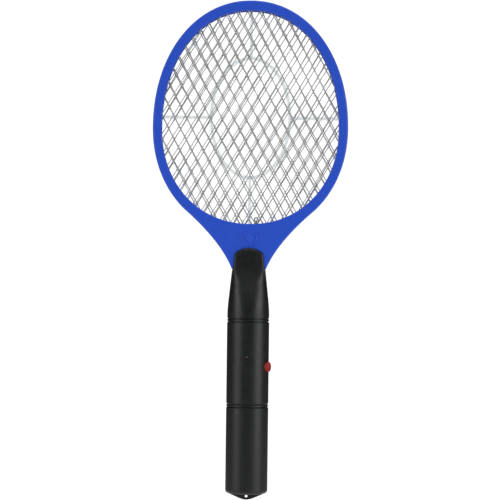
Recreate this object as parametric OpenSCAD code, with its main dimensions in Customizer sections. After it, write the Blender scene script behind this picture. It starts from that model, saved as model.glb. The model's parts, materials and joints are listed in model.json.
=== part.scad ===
// Electric fly swatter: a battery-powered handle that carries an oval head with three metal grids.
// Heights are measured from the tip of the hanging lug, +Z runs up to the top of the head,
// the front faces -Y, and stand() puts the origin at the middle of the battery cap's grip.

/* [Overall] */
// Height from the tip of the hanging lug to the top of the head
overall_h = 440; // [436:1:446]
// Height of the head's widest place
head_mid_h = 328; // [326:1:330]
// Half of the head's thickness, front to back
frame_half_t = 8; // [7.6:0.1:8.6]

/* [Head frame] */
// Half of the head's width
head_half_w = 86; // [85:0.5:88]
// From the widest place down to where the oval would end
head_down = 95; // [93:0.5:97]
// Power of the outer oval, where 2 is an ellipse
head_power = 2.08; // [2:0.02:2.2]
// Height at which the oval turns into the throat
throat_top_h = 256; // [254:0.5:258]
// Half width of the throat where it meets the collar
throat_half_w = 14.8; // [14:0.1:15]
// Half of the opening's width
opening_half_w = 78.1; // [76:0.1:78.5]
// Height of the opening's widest place
opening_mid_h = 327; // [326:0.5:328]
// From the opening's widest place to its top
opening_up = 104; // [102:0.5:105]
// From the opening's widest place to its foot
opening_down = 83.7; // [82:0.1:84.5]
// Power of the opening's oval
opening_power = 2.1; // [2:0.02:2.2]
// How far the pocket for the grids goes under the lip
pocket_margin = 3.4; // [3:0.1:3.6]
// Half width of the neck inside the collar
neck_half_w = 10.4; // [9:0.1:10.6]
// Height of the neck's lower end
neck_end_h = 166; // [164:0.5:170]
// Radius of the raised ring on the throat
badge_r = 7.1; // [5:0.1:8]
// Height of the raised ring's middle
badge_h = 230.7; // [229:0.1:232]

/* [Grids] */
// Thickness of each grid
mesh_t = 0.6; // [0.5:0.05:0.7]
// Width of one diamond, from strand to strand
diamond_w = 10.5; // [9:0.1:14]
// Height of one diamond
diamond_h = 19; // [16:0.1:24]
// Width of a strand
strand_w = 0.7; // [0.5:0.05:1]
// How far each grid goes under the lip
mesh_margin = 3; // [2:0.1:3.2]

/* [Spacers] */
// Half width of the middle ring
ring_half_w = 36; // [30:0.5:40]
// Half height of the middle ring
ring_half_h = 54; // [48:0.5:58]
// Height of the middle ring's centre
ring_mid_h = 336.8; // [334:0.1:338]
// Width of the ring's band
ring_band = 2.7; // [2:0.1:4]
// Width of a spoke
spoke_w = 2.5; // [2:0.1:4]

/* [Handle] */
// Radius of the handle's straight part
handle_r = 18.6; // [18.4:0.1:19]
// Wall of the handle shells
wall = 1.8; // [1.6:0.1:2]
// Height of the handle's lower end
handle_foot_h = 82.2; // [82:0.1:82.4]
// Height of the groove below the collar
collar_foot_h = 156.2; // [155:0.1:157]
// Height of the collar's shoulders
collar_top_h = 202.7; // [202:0.1:203]
// Half depth of the collar at its shoulders
collar_half_d = 11; // [10.8:0.1:12]
// Half width of the tongue at its upper corners
tongue_half_w = 12.7; // [11:0.1:13]
// Height of the tongue's upper corners
tongue_corner_h = 217; // [215:0.5:218]
// Height of the tongue's rounded tip
tongue_tip_h = 222.2; // [221:0.1:223]

/* [Battery cap] */
// Height of the cap's open end
cap_top_h = 81.6; // [81:0.1:81.7]
// Wall of the cap
cap_wall = 1.6; // [1.4:0.1:1.6]
// Height at which the cap's side starts to round
cap_round_h = 9; // [8:0.5:10]
// Thickness of the hanging lug
lug_t = 4; // [3:0.5:6]
// Radius of the hole in the lug
lug_hole_r = 1.25; // [1:0.05:1.4]
// Height of that hole
lug_hole_h = 3; // [2.8:0.1:3.2]

/* [Batteries] */
// Radius of an AA cell
cell_r = 7.25; // [7:0.05:7.25]
// Length of an AA cell's body without its button
cell_body = 49.2; // [49:0.1:49.2]
// Length of its positive button
cell_nub = 1.3; // [1:0.1:1.3]
// Distance of each cell from the handle's axis
cell_x = 8; // [7.9:0.05:8.1]

/* [Button and switch] */
// Height of the push button
button_h = 117.7; // [117:0.1:118]
// How far the button is turned from the right side to the front
button_turn = 25; // [20:1:30]
// Radius of the push button
button_r = 4.4; // [4:0.1:4.6]
// Distance of its outer face from the handle's axis
button_reach = 21; // [20.6:0.1:21.4]
// Travel of the button
button_travel = 1.5; // [1:0.1:1.5]
// Gap around the button in its hole
button_gap = 0.3; // [0.2:0.05:0.4]
// Height of the indicator lamp
led_h = 126.4; // [126:0.1:127]
// Sideways place of the indicator lamp
led_x = -1; // [-1.5:0.1:0]

/* [Circuit board] */
// Half width of the board
board_half_w = 14; // [13:0.5:14]
// Thickness of the board
board_t = 1.6; // [1.6:0.1:1.6]
// Height of the board's lower edge
board_low_h = 103; // [102:0.5:103]
// Height of the board's upper edge
board_high_h = 147; // [146:0.5:148]

/* [Fasteners] */
// Heights of the three handle screws
handle_screw_hs = [96.5, 152, 188];
// Places of the six frame screws around the rim, in degrees from the right
frame_screw_turns = [0, 60, 120, 180, 225, 315];

/* [Hidden] */
$fn = 64;
front = -1;
rear = 1;
// A little extra on a cutting shape, so that it runs past the face it cuts
past = 1;

blue = "#2b50c8";
black = "#232528";
pale = "#dfe9ee";
steel = "#55585a";
red = "#b83a2a";

// Head: points on one oval, then the places across the thickness
oval_step = 5;
throat_steps = 10;
lip_t = 2.4;
mesh_out = frame_half_t - lip_t;
mesh_in = mesh_out - mesh_t;
centre_half_t = mesh_t / 2;
throat_bend = [24.7, 227.5];
shoulder_gap = 0.2;
neck_top_h = collar_top_h + shoulder_gap;
// The outer edge is rounded in two steps: how far each step goes in, and how thick it is
edge_steps = [[0.7, 0.9], [1.8, 0.9]];
edge_t = edge_steps[0][1] + edge_steps[1][1];
// The throat's hollow and the slots for the leads
lead_x = 6;
lead_slot_w = 3.2;
lead_slot_d = 5;
throat_pocket = [18, 20];
throat_pocket_h = 222;

// Handle
inner_r = handle_r - wall;
groove_r = handle_r - 0.6;
bead_r = handle_r - 0.15;
collar_r = handle_r - 0.1;
collar_low_h = collar_foot_h + 4.2;
collar_turn_h = 177.6;
collar_turn_r = 17.5;
depth_start_h = 166;
corner_r = 16.7;
head_gap = 0.05;
boss_r = 2.8;
head_boss_r = 4.3;
screw_r = 1.3;
screw_head_r = 2.6;
screw_head_t = 1.8;
screw_seat_y = 11;
screw_tip_y = -9;
rim_screw_r = 0.95;
rim_screw_head_r = 1.9;
rim_screw_head_t = 1.2;
rim_screw_seat_y = frame_half_t - rim_screw_head_t;
rim_screw_tip_y = -4;

// Battery carrier
carrier_r = 16.4;
plug_r = 16.6;
carrier_low_h = 16.6;
plate_t = 2;
contact_t = 0.4;
carrier_floor_h = carrier_low_h + plate_t;
low_contact_h = carrier_floor_h + contact_t;
spring_len = 4.1;
high_contact_h = low_contact_h + spring_len + cell_body + cell_nub;
carrier_roof_h = high_contact_h + contact_t;
plug_top_h = 90;
lock_low_h = 87;
lock_high_h = 88.5;
cap_inner_r = handle_r - cap_wall;
grip_mid_h = (cap_round_h + cap_top_h) / 2;

// Button and switch, as distances from the handle's axis
flange_r = 5.6;
flange_in = 14.3;
flange_out = 15.5;
plunger_r = 1.5;
plunger_gap = 0.08;
plunger_out = 14;
plunger_in = 8;
switch_in = 5.7;
switch_out = 12.5;
switch_half_w = 3.2;
switch_half_h = 4;
board_notch_half_h = 6.6;
wire_r = 0.7;

// ---------- helpers ----------

// Moves heights above the lug's tip into the part's own frame
module stand() translate([0, 0, -grip_mid_h]) children();

// Stands a flat outline up, from y_back forward (towards -Y) by t
module plate(y_back, t) translate([0, y_back, 0]) rotate([90, 0, 0]) linear_extrude(t) children();

// The same plate on the chosen side of the middle plane, from depth a to depth b
module layer(side, a, b) plate(side < 0 ? -a : b, b - a) children();

// A cylinder along Y from y0 to y1, at a place across and up
module peg(r, y0, y1, x, h) translate([x, y1, h]) rotate([90, 0, 0]) cylinder(r = r, h = y1 - y0);

// Turns into the board's own frame: X towards the button, -Y the board's front
module board_frame() rotate([0, 0, -button_turn]) children();

// A box from its lowest to its highest corner
module box(low, high) translate(low) cube(high - low);

function oval_point(a, up, down, power, t) = [
    a * sign(cos(t)) * pow(abs(cos(t)), 2 / power),
    (sin(t) > 0 ? up : down) * sign(sin(t)) * pow(abs(sin(t)), 2 / power)
];

function bend(a, b, c, u) = (1 - u) * (1 - u) * a + 2 * u * (1 - u) * b + u * u * c;

function bend_points(a, b, c, steps) = [for (i = [0 : steps]) bend(a, b, c, i / steps)];

function left_of(points) = [
    for (i = [len(points) - 1 : -1 : 0]) if (points[i][0] > 0.01) [-points[i][0], points[i][1]]
];

function both_sides(right_points) = concat(right_points, left_of(right_points));

function opening_outline(margin) = [
    for (t = [0 : oval_step : 360 - oval_step])
        oval_point(opening_half_w + margin, opening_up + margin, opening_down + margin, opening_power, t)
        + [0, opening_mid_h]
];

function rim_point(t, inset) =
    oval_point(head_half_w - inset, overall_h - head_mid_h - inset, head_down - inset, head_power, t)
    + [0, head_mid_h];

// The right edge of the head, from the top down to the collar
function head_right(inset) =
    let (last = asin(pow((head_mid_h - throat_top_h) / (head_down - inset), head_power / 2)))
    concat(
        [for (t = [90 : -oval_step : -last + 1]) rim_point(t, inset)],
        bend_points(rim_point(-last, inset), throat_bend - [inset, 0],
                    [throat_half_w - inset, neck_top_h], throat_steps)
    );

function head_outline(inset) = both_sides(head_right(inset));

// A tube of eight sides along a path that never runs along X
function ring_at(path, i, r) =
    let (ahead = path[min(i + 1, len(path) - 1)] - path[max(i - 1, 0)],
         way = ahead / norm(ahead),
         flat = cross(way, [1, 0, 0]),
         u = flat / norm(flat),
         v = cross(way, u))
    [for (k = [0 : 7]) path[i] + r * (cos(k * 45) * u + sin(k * 45) * v)];

module tube(path, r) {
    last = len(path) - 1;
    points = [for (i = [0 : last]) each ring_at(path, i, r)];
    sides = [for (i = [0 : last - 1], k = [0 : 7])
        [i * 8 + k, i * 8 + (k + 1) % 8, (i + 1) * 8 + (k + 1) % 8, (i + 1) * 8 + k]];
    caps = [[for (k = [7 : -1 : 0]) k], [for (k = [0 : 7]) last * 8 + k]];
    polyhedron(points, concat(sides, caps), convexity = 6);
}

// ---------- head ----------

module rim_screw_places() {
    for (t = frame_screw_turns) {
        outer = rim_point(t, 0);
        inner = oval_point(opening_half_w + pocket_margin, opening_up + pocket_margin,
                           opening_down + pocket_margin, opening_power, t) + [0, opening_mid_h];
        middle = (outer + inner) / 2;
        translate([middle[0], 0, middle[1]]) children();
    }
}

module frame_half(side) {
    outer_t = frame_half_t - edge_t;
    second_t = outer_t + edge_steps[0][1];
    difference() {
        union() {
            layer(side, 0, outer_t) polygon(head_outline(0));
            layer(side, outer_t, second_t) polygon(head_outline(edge_steps[0][0]));
            layer(side, second_t, frame_half_t) polygon(head_outline(edge_steps[1][0]));
            layer(side, 0, frame_half_t)
                translate([-neck_half_w, neck_end_h])
                    square([2 * neck_half_w, neck_top_h - neck_end_h + past]);
        }
        layer(side, -past, frame_half_t + past) polygon(opening_outline(0));
        layer(side, -past, mesh_out) polygon(opening_outline(pocket_margin));
        layer(side, -past, lead_slot_d)
            translate([-throat_pocket[0] / 2, throat_pocket_h]) square(throat_pocket);
        for (x = [-lead_x, lead_x])
            layer(side, -past, lead_slot_d)
                translate([x - lead_slot_w / 2, neck_end_h - past])
                    square([lead_slot_w, throat_pocket_h + 2 * past - neck_end_h]);
        peg(boss_r + 0.3, -frame_half_t - past, frame_half_t + past, 0, handle_screw_hs[2]);
    }
}

module front_frame() stand() color(blue) {
    difference() {
        frame_half(front);
        rim_screw_places() peg(rim_screw_r + 0.05, rim_screw_tip_y - past, past, 0, 0);
    }
    difference() {
        peg(badge_r, -frame_half_t - 0.4, -frame_half_t, 0, badge_h);
        peg(badge_r - 0.9, -frame_half_t - past, -frame_half_t + past, 0, badge_h);
    }
}

module rear_frame() stand() color(blue) difference() {
    frame_half(rear);
    rim_screw_places() {
        peg(rim_screw_r + 0.15, -past, frame_half_t + past, 0, 0);
        peg(rim_screw_head_r + 0.1, rim_screw_seat_y, frame_half_t + past, 0, 0);
    }
}

// One grid: an oval sheet with a field of diamonds cut out, moved by shift from one grid to the next
module diamond_grid(shift) {
    border = 1.5;
    slope = norm([diamond_w, diamond_h]);
    hole = [diamond_w - strand_w * slope / diamond_h, diamond_h - strand_w * slope / diamond_w] / 2;
    half_w = opening_half_w + mesh_margin - border + 0.3 * hole[0];
    up = opening_up + mesh_margin - border + 0.3 * hole[1];
    down = opening_down + mesh_margin - border + 0.3 * hole[1];
    cols = ceil(half_w / diamond_w) + 1;
    rows = 2 * ceil(up / diamond_h) + 1;
    difference() {
        polygon(opening_outline(mesh_margin));
        intersection() {
            polygon(opening_outline(mesh_margin - border));
            for (j = [-rows : rows], i = [-cols : cols]) {
                x = (i + (abs(j) % 2) / 2) * diamond_w + shift[0];
                z = j * diamond_h / 2 + shift[1];
                if (norm([x / half_w, z / (z > 0 ? up : down)]) < 1)
                    translate([x, opening_mid_h + z])
                        polygon([[hole[0], 0], [0, hole[1]], [-hole[0], 0], [0, -hole[1]]]);
            }
        }
    }
}

module front_mesh() stand() color(steel) layer(front, mesh_in, mesh_out) diamond_grid([0, 0]);

module centre_mesh() stand() color(steel) plate(centre_half_t, mesh_t) diamond_grid([2.2, 3.1]);

module rear_mesh() stand() color(steel) layer(rear, mesh_in, mesh_out) diamond_grid([1.3, -2.4]);

module spacer_outline() {
    difference() {
        polygon(opening_outline(mesh_margin));
        polygon(opening_outline(0.4));
        for (x = [-lead_x, lead_x])
            translate([x - lead_slot_w / 2, opening_mid_h - opening_down - 10]) square([lead_slot_w, 14]);
    }
    difference() {
        union() {
            translate([0, ring_mid_h]) polygon([for (t = [0 : oval_step : 360 - oval_step])
                [ring_half_w * cos(t), ring_half_h * sin(t)]]);
            intersection() {
                polygon(opening_outline(mesh_margin - 1));
                union() {
                    translate([-head_half_w, ring_mid_h - spoke_w / 2]) square([2 * head_half_w, spoke_w]);
                    translate([-spoke_w / 2, 0]) square([spoke_w, overall_h]);
                }
            }
        }
        translate([0, ring_mid_h]) polygon([for (t = [0 : oval_step : 360 - oval_step])
            [(ring_half_w - ring_band) * cos(t), (ring_half_h - ring_band) * sin(t)]]);
    }
}

module front_spacer() stand() color(pale) layer(front, centre_half_t, mesh_in) spacer_outline();

module rear_spacer() stand() color(pale) layer(rear, centre_half_t, mesh_in) spacer_outline();

module frame_screws() stand() color("silver") rim_screw_places() {
    peg(rim_screw_r, rim_screw_tip_y, rim_screw_seat_y, 0, 0);
    difference() {
        peg(rim_screw_head_r, rim_screw_seat_y, frame_half_t, 0, 0);
        for (turn = [0, 90])
            rotate([0, turn, 0]) box([-1.2, frame_half_t - 0.6, -0.2], [1.2, frame_half_t + past, 0.2]);
    }
}

module terminal(y0, x) {
    eye_h = opening_mid_h - opening_down + 3.9;
    difference() {
        union() {
            peg(2.2, y0, y0 + 0.6, x, eye_h);
            box([x - 0.9, y0, eye_h - 8], [x + 0.9, y0 + 0.6, eye_h]);
        }
        peg(1.1, y0 - past, y0 + 0.6 + past, x, eye_h);
    }
}

module outer_terminals() stand() color("dimgray") {
    terminal(-mesh_in, lead_x);
    terminal(mesh_in - 0.6, lead_x);
}

module centre_terminal() stand() color("dimgray") terminal(centre_half_t, -lead_x);

module outer_mesh_leads() stand() color("firebrick") {
    tie_h = opening_mid_h - opening_down - 4.2;
    foot = [lead_x, -lead_x * tan(button_turn), board_high_h];
    tube([
        foot, foot + [0, 0, 6], [lead_x, -3.6, 165], [lead_x, -3.6, 200], [lead_x, -3.9, 230],
        [lead_x, -mesh_in + 0.6 + wire_r, tie_h - 3], [lead_x, -mesh_in + 0.6 + wire_r, tie_h]
    ], wire_r);
    tube([
        [lead_x, mesh_in - 0.6 - wire_r, tie_h], [lead_x, mesh_in - 0.6 - wire_r, tie_h - 4],
        [lead_x, 2.4, tie_h - 8], [lead_x, 0, tie_h - 9.4], [lead_x, -2.2, tie_h - 9]
    ], wire_r);
}

module centre_mesh_lead() stand() color("royalblue") {
    tie_h = opening_mid_h - opening_down - 4.2;
    foot = [-lead_x, lead_x * tan(button_turn), board_high_h];
    tube([
        foot, foot + [0, 0, 6], [-lead_x, 2.4, 165], [-lead_x, 1.8, 200], [-lead_x, 1.7, 230],
        [-lead_x, centre_half_t + 0.6 + wire_r, tie_h]
    ], wire_r);
}

// ---------- handle ----------

// Outline of the round part, as radius and height
handle_profile = concat(
    [[0, handle_foot_h], [bead_r - 0.4, handle_foot_h], [bead_r, handle_foot_h + 0.4],
     [bead_r, handle_foot_h + 1.7], [groove_r, handle_foot_h + 2.1], [groove_r, handle_foot_h + 2.8],
     [handle_r, handle_foot_h + 3.3], [handle_r, collar_foot_h], [groove_r, collar_foot_h + 0.4],
     [groove_r, collar_foot_h + 1], [bead_r, collar_foot_h + 1.4], [bead_r, collar_foot_h + 2.8],
     [groove_r, collar_foot_h + 3.2], [groove_r, collar_foot_h + 3.8], [collar_r, collar_low_h]],
    [[corner_r, collar_top_h], [corner_r - 0.4, tongue_tip_h + past], [0, tongue_tip_h + past]]
);

// Right edge of the collar and its tongue, seen from the front
function collar_right(inset) =
    let (arc_rise = tongue_tip_h - tongue_corner_h,
         arc_r = (tongue_half_w * tongue_half_w + arc_rise * arc_rise) / (2 * arc_rise),
         arc_half = asin(tongue_half_w / arc_r))
    concat(
        [[2 * handle_r, handle_foot_h - past], [2 * handle_r, collar_low_h - past]],
        bend_points([collar_r - inset, collar_low_h], [collar_r - inset, 168.2],
                    [collar_turn_r - inset, collar_turn_h], 5),
        [[throat_half_w - inset, collar_top_h], [tongue_half_w + 1 - inset, collar_top_h + 0.3]],
        [for (i = [0 : 6]) let (a = arc_half * (1 - i / 6.5))
            [arc_r * sin(a) - (i < 1 ? inset : 0), tongue_tip_h - arc_r + arc_r * cos(a) - inset]]
    );

// Half depth of the collar against height, seen from the side
function collar_back(inset) = concat(
    [[2 * handle_r, handle_foot_h - past], [2 * handle_r, depth_start_h - 6]],
    bend_points([handle_r - inset, depth_start_h - 2], [16.3 - inset, 178],
                [collar_half_d - inset, collar_top_h], 6),
    [[collar_half_d - 0.4 - inset, tongue_tip_h + past]]
);

// The closed form of the handle and collar, all of it moved in by inset
module handle_form(inset) {
    intersection() {
        rotate_extrude() polygon([for (p = handle_profile) [max(p[0] - inset, 0), p[1]]]);
        plate(2 * handle_r, 4 * handle_r) polygon(both_sides(collar_right(inset)));
        rotate([0, 0, 90]) plate(2 * handle_r, 4 * handle_r) polygon(both_sides(collar_back(inset)));
    }
}

// The hollow for the batteries' plug, the board and the leads
module handle_hollow() {
    translate([0, 0, handle_foot_h - past])
        cylinder(r = inner_r, h = collar_foot_h - 1 - handle_foot_h + past);
    intersection() {
        handle_form(wall);
        translate([0, 0, collar_foot_h - 2]) cylinder(r = inner_r, h = collar_top_h - collar_foot_h);
    }
}

module half_space(side, gap) {
    low = side < 0 ? -3 * handle_r : gap;
    translate([-3 * handle_r, low, 0]) cube([6 * handle_r, 3 * handle_r - gap, overall_h]);
}

// Ribs inside the shell: the plug's lock, two cradles for the neck, and rails for the board
module handle_ribs(side) {
    intersection() {
        half_space(side, 0);
        difference() {
            intersection() {
                handle_form(wall / 2);
                union() {
                    box([-20, -20, lock_low_h], [20, 20, lock_high_h]);
                    for (h = [neck_end_h + 3, 196])
                        box([-20, -20, h], [20, 20, h + 2]);
                }
            }
            translate([0, 0, lock_low_h - past]) cylinder(r = 15.6, h = lock_high_h - lock_low_h + 2 * past);
            box([-neck_half_w - 0.1, -frame_half_t - head_gap, neck_end_h],
                [neck_half_w + 0.1, frame_half_t + head_gap, collar_top_h]);
        }
    }
    intersection() {
        half_space(side, 0);
        difference() {
            cylinder(r = inner_r + wall / 2, h = overall_h);
            translate([0, 0, -past]) cylinder(r = 14.6, h = overall_h + 2 * past);
        }
        board_frame() for (h = [105, 138], way = [-1, 1])
            box([way * side > 0 ? -18 : 12, way > 0 ? board_t / 2 + 0.1 : -2.6, h],
                [way * side > 0 ? -12 : 18, way > 0 ? 2.6 : -board_t / 2 - 0.1, h + 5]);
    }
}

module handle_shell(side) {
    difference() {
        union() {
            intersection() {
                half_space(side, 0);
                difference() {
                    handle_form(0);
                    handle_hollow();
                    // The frame's neck, and its throat above the shoulders
                    box([-neck_half_w - 0.1, -frame_half_t - head_gap, neck_end_h],
                        [neck_half_w + 0.1, frame_half_t + head_gap, collar_top_h + past]);
                    box([-2 * handle_r, -frame_half_t - head_gap, collar_top_h],
                        [2 * handle_r, frame_half_t + head_gap, overall_h]);
                }
            }
            handle_ribs(side);
            for (h = handle_screw_hs) {
                inside = h > neck_end_h ? 12.5 : 17.4;
                peg(boss_r, side < 0 ? -inside : 0.1, side < 0 ? -0.1 : inside, 0, h);
                seat = h > neck_end_h ? frame_half_t + head_gap : 6;
                if (side > 0) peg(head_boss_r, seat, inside, 0, h);
            }
        }
        for (h = handle_screw_hs)
            peg(side < 0 ? screw_r + 0.05 : screw_r + 0.2, screw_tip_y - 0.5, screw_seat_y + past, 0, h);
        if (side > 0)
            for (h = handle_screw_hs) peg(screw_head_r + 0.2, screw_seat_y, 2 * handle_r, 0, h);
        if (side < 0) {
            peg(1.6, -2 * handle_r, -inner_r + 3, led_x, led_h);
            board_frame() translate([12, 0, button_h]) rotate([0, 90, 0])
                cylinder(r = button_r + button_gap, h = handle_r);
        }
    }
}

module handle_front() stand() color(black) handle_shell(front);

module handle_rear() stand() color(black) handle_shell(rear);

module handle_screws() stand() color("silver") for (h = handle_screw_hs) {
    peg(screw_r, screw_tip_y, screw_seat_y, 0, h);
    difference() {
        peg(screw_head_r, screw_seat_y, screw_seat_y + screw_head_t, 0, h);
        translate([0, screw_seat_y + screw_head_t, h]) for (turn = [0, 90])
            rotate([0, turn, 0]) box([-1.7, -0.9, -0.3], [1.7, past, 0.3]);
    }
}

// ---------- button, switch and lamp ----------

// Puts a shape that is round about Z onto the button's axis, Z pointing outwards
module button_axis() board_frame() translate([0, 0, button_h]) rotate([0, 90, 0]) children();

module push_button() stand() color(red) button_axis() rotate_extrude() polygon(concat(
    [[0, flange_in], [flange_r, flange_in], [flange_r, flange_out], [button_r, flange_out]],
    [for (a = [0 : 22.5 : 90]) [button_r - 0.7 + 0.7 * cos(a), button_reach - 0.7 + 0.7 * sin(a)]],
    [[0, button_reach - 0.3]]
));

module switch_body() stand() color("#303030") board_frame() difference() {
    union() {
        box([switch_in, -switch_half_w, button_h - switch_half_h],
            [switch_out, switch_half_w, button_h + switch_half_h]);
        box([switch_in + 0.8, board_t / 2, button_h - 8.2],
            [switch_in + 4.3, board_t / 2 + 1, button_h + 8.2]);
    }
    translate([plunger_in - button_travel - 0.1, 0, button_h]) rotate([0, 90, 0])
        cylinder(r = plunger_r + plunger_gap, h = handle_r);
}

module switch_plunger() stand() color("whitesmoke") button_axis()
    translate([0, 0, plunger_in]) cylinder(r = plunger_r, h = plunger_out - plunger_in);

module led() stand() color("#c8504a") {
    peg(1.5, -17.4, -13, led_x, led_h);
    peg(1.85, -14, -13, led_x, led_h);
    translate([led_x, -17.4, led_h]) sphere(r = 1.5);
    peg(0.25, -13.5, -0.1, led_x - 1.27, led_h);
    peg(0.25, -13.5, -1.3, led_x + 1.27, led_h);
}

// ---------- circuit board and its components ----------

module circuit_board() stand() color("#2e6b3c") board_frame() difference() {
    box([-board_half_w, -board_t / 2, board_low_h], [board_half_w, board_t / 2, board_high_h]);
    box([switch_in - 0.2, -board_t, button_h - board_notch_half_h],
        [board_half_w + past, board_t, button_h + board_notch_half_h]);
}

// The transformer lies across the back of the board: its middle, in the board's frame
coil_at = [0, 6.9, 136];

module transformer_core() stand() color("#3a3a3c") board_frame() translate(coil_at) {
    difference() {
        cube([14, 5.5, 15], center = true);
        cube([9.2, 6.5, 11], center = true);
    }
    cube([14, 4, 4], center = true);
}

module transformer_bobbin() stand() color("#e8e2c8") board_frame() translate(coil_at) difference() {
    union() {
        rotate([0, 90, 0]) cylinder(r = 3.4, h = 8.9, center = true);
        for (x = [-4.25, 4.25]) translate([x, 0, 0]) cube([0.4, 10.6, 10.6], center = true);
        box([-6, board_t / 2 - coil_at[1], -7], [6, -5.2, 7]);
    }
    cube([20, 4.2, 4.2], center = true);
}

module transformer_winding() stand() color("#b5651d") board_frame() translate(coil_at)
    rotate([0, 90, 0]) difference() {
        cylinder(r = 5.1, h = 8, center = true);
        cylinder(r = 3.45, h = 9, center = true);
    }

module hv_capacitor() stand() color("#8c2f1e") board_frame()
    box([-11, board_t / 2, 107], [5, 9.3, 121]);

// An axial part along Z in front of the board, with its two bent leads
module axial_part(x, h, r, body) {
    y = -board_t / 2 - r;
    translate([x, y, h - body / 2]) cylinder(r = r, h = body);
    translate([x, y, h - body / 2 - 1.6]) cylinder(r = 0.3, h = body + 3.2);
    for (end = [-1, 1]) peg(0.3, y, -board_t / 2, x, h + end * (body / 2 + 1.6));
}

module doubler_diodes() stand() color("#27272a") board_frame()
    for (x = [-11, -7.6, -4.2]) axial_part(x, 130, 1.35, 5);

module resistors() stand() color("#c9b18a") board_frame()
    for (x = [-3, 1]) axial_part(x, 109, 1.1, 6);

module doubler_capacitors() stand() color("#2d6fb0") board_frame() for (x = [-8, 4]) {
    translate([x, -5.4, 141]) rotate([0, 90, 0]) cylinder(r = 3.6, h = 2.6, center = true);
    for (dz = [-1.8, 1.8]) peg(0.3, -4.5, -board_t / 2, x, 141 + dz);
}

module transistor() stand() color("#1f1f22") board_frame() {
    intersection() {
        translate([-9, -5.3, 106]) cylinder(r = 2.4, h = 4.6);
        box([-12, -6.4, 105], [-6, -2, 112]);
    }
    for (x = [-10.27, -9, -7.73]) peg(0.25, -4, -board_t / 2, x, 107);
}

// ---------- batteries and their contacts ----------

module battery_carrier() stand() color(black) difference() {
    union() {
        translate([0, 0, carrier_low_h]) cylinder(r = carrier_r, h = plate_t);
        translate([0, 0, carrier_roof_h]) cylinder(r = plug_r, h = plate_t);
        difference() {
            translate([0, 0, carrier_roof_h]) cylinder(r = plug_r, h = plug_top_h - carrier_roof_h);
            translate([0, 0, carrier_roof_h + plate_t]) cylinder(r = 14.4, h = plug_top_h);
        }
        intersection() {
            half_space(rear, 0);
            difference() {
                translate([0, 0, carrier_low_h]) cylinder(r = carrier_r, h = carrier_roof_h - carrier_low_h);
                translate([0, 0, carrier_floor_h])
                    cylinder(r = carrier_r - 0.9, h = carrier_roof_h - carrier_floor_h);
            }
        }
        box([-0.45, -7, low_contact_h + 0.1], [0.45, carrier_r - 0.5, carrier_roof_h]);
    }
    translate([0, 0, lock_low_h - 0.1]) difference() {
        cylinder(r = 2 * plug_r, h = lock_high_h - lock_low_h + 0.2);
        translate([0, 0, -past]) cylinder(r = 15.4, h = lock_high_h);
    }
    // Slots for the contacts' solder tags
    board_frame() for (x = [-cell_x, cell_x])
        box([x - 1.3, -0.4, carrier_roof_h - past], [x + 1.3, 0.4, carrier_roof_h + plate_t + past]);
}

module bridge_contact() stand() color("silver") translate([0, 0, carrier_floor_h])
    linear_extrude(contact_t) intersection() {
        circle(r = carrier_r - 1.2);
        translate([-20, -4.5]) square([40, 9]);
    }

// One end contact over a cell, with the tag that its lead is soldered to
module end_contact(side) {
    translate([side * cell_x, 0, high_contact_h]) cylinder(r = 5, h = contact_t);
    board_frame() translate([side * cell_x, 0, high_contact_h])
        box([-1, -0.2, contact_t / 2], [1, 0.2, contact_t + plate_t + 2]);
}

module positive_contact() stand() color("silver") end_contact(1);

module negative_contact() stand() color("silver") end_contact(-1);

// A tapered coil of three turns, closed at 0 and reaching up to len
function coil_path(len, r0, r1, turns) = [
    for (i = [0 : 12 * turns]) let (u = i / (12 * turns), r = r0 + (r1 - r0) * u)
        [r * cos(30 * i), r * sin(30 * i), 0.35 + (len - 0.7) * u]
];

module coil_spring(len, r0, r1) {
    path = coil_path(len, r0, r1, 3);
    last = len(path) - 1;
    sides = 6;
    points = [for (i = [0 : last]) let (out = [cos(30 * i), sin(30 * i), 0])
        each [for (k = [0 : sides - 1])
            path[i] + 0.3 * (cos(k * 360 / sides) * out + sin(k * 360 / sides) * [0, 0, 1])]];
    faces = [for (i = [0 : last - 1], k = [0 : sides - 1])
        [i * sides + k, (i + 1) * sides + k,
         (i + 1) * sides + (k + 1) % sides, i * sides + (k + 1) % sides]];
    caps = [[for (k = [0 : sides - 1]) k], [for (k = [sides - 1 : -1 : 0]) last * sides + k]];
    polyhedron(points, concat(faces, caps), convexity = 8);
}

module battery_springs() stand() color("silver") {
    translate([cell_x, 0, low_contact_h]) coil_spring(spring_len, 4.6, 2.8);
    translate([-cell_x, 0, high_contact_h]) mirror([0, 0, 1]) coil_spring(spring_len, 4.6, 2.8);
}

module cell() {
    cylinder(r = cell_r, h = cell_body);
    translate([0, 0, cell_body]) cylinder(r = 2.75, h = cell_nub);
}

module battery_1() stand() color("#8d9298")
    translate([cell_x, 0, low_contact_h + spring_len]) cell();

module battery_2() stand() color("#8d9298")
    translate([-cell_x, 0, low_contact_h + cell_nub + cell_body]) mirror([0, 0, 1]) cell();

module battery_leads() stand() color("firebrick") board_frame() for (x = [-cell_x, cell_x])
    translate([x, 0, carrier_roof_h + plate_t + 2.1])
        cylinder(r = 0.8, h = board_low_h - carrier_roof_h - plate_t - 2.1);

// ---------- battery cap ----------

// Edge of the hanging lug, a smooth swell from the cap's sides down to its tip
function lug_edge(x) = let (u = min(abs(x) / (handle_r - 0.2), 1)) 5.4 * u * u * (3 - 2 * u);

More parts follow.
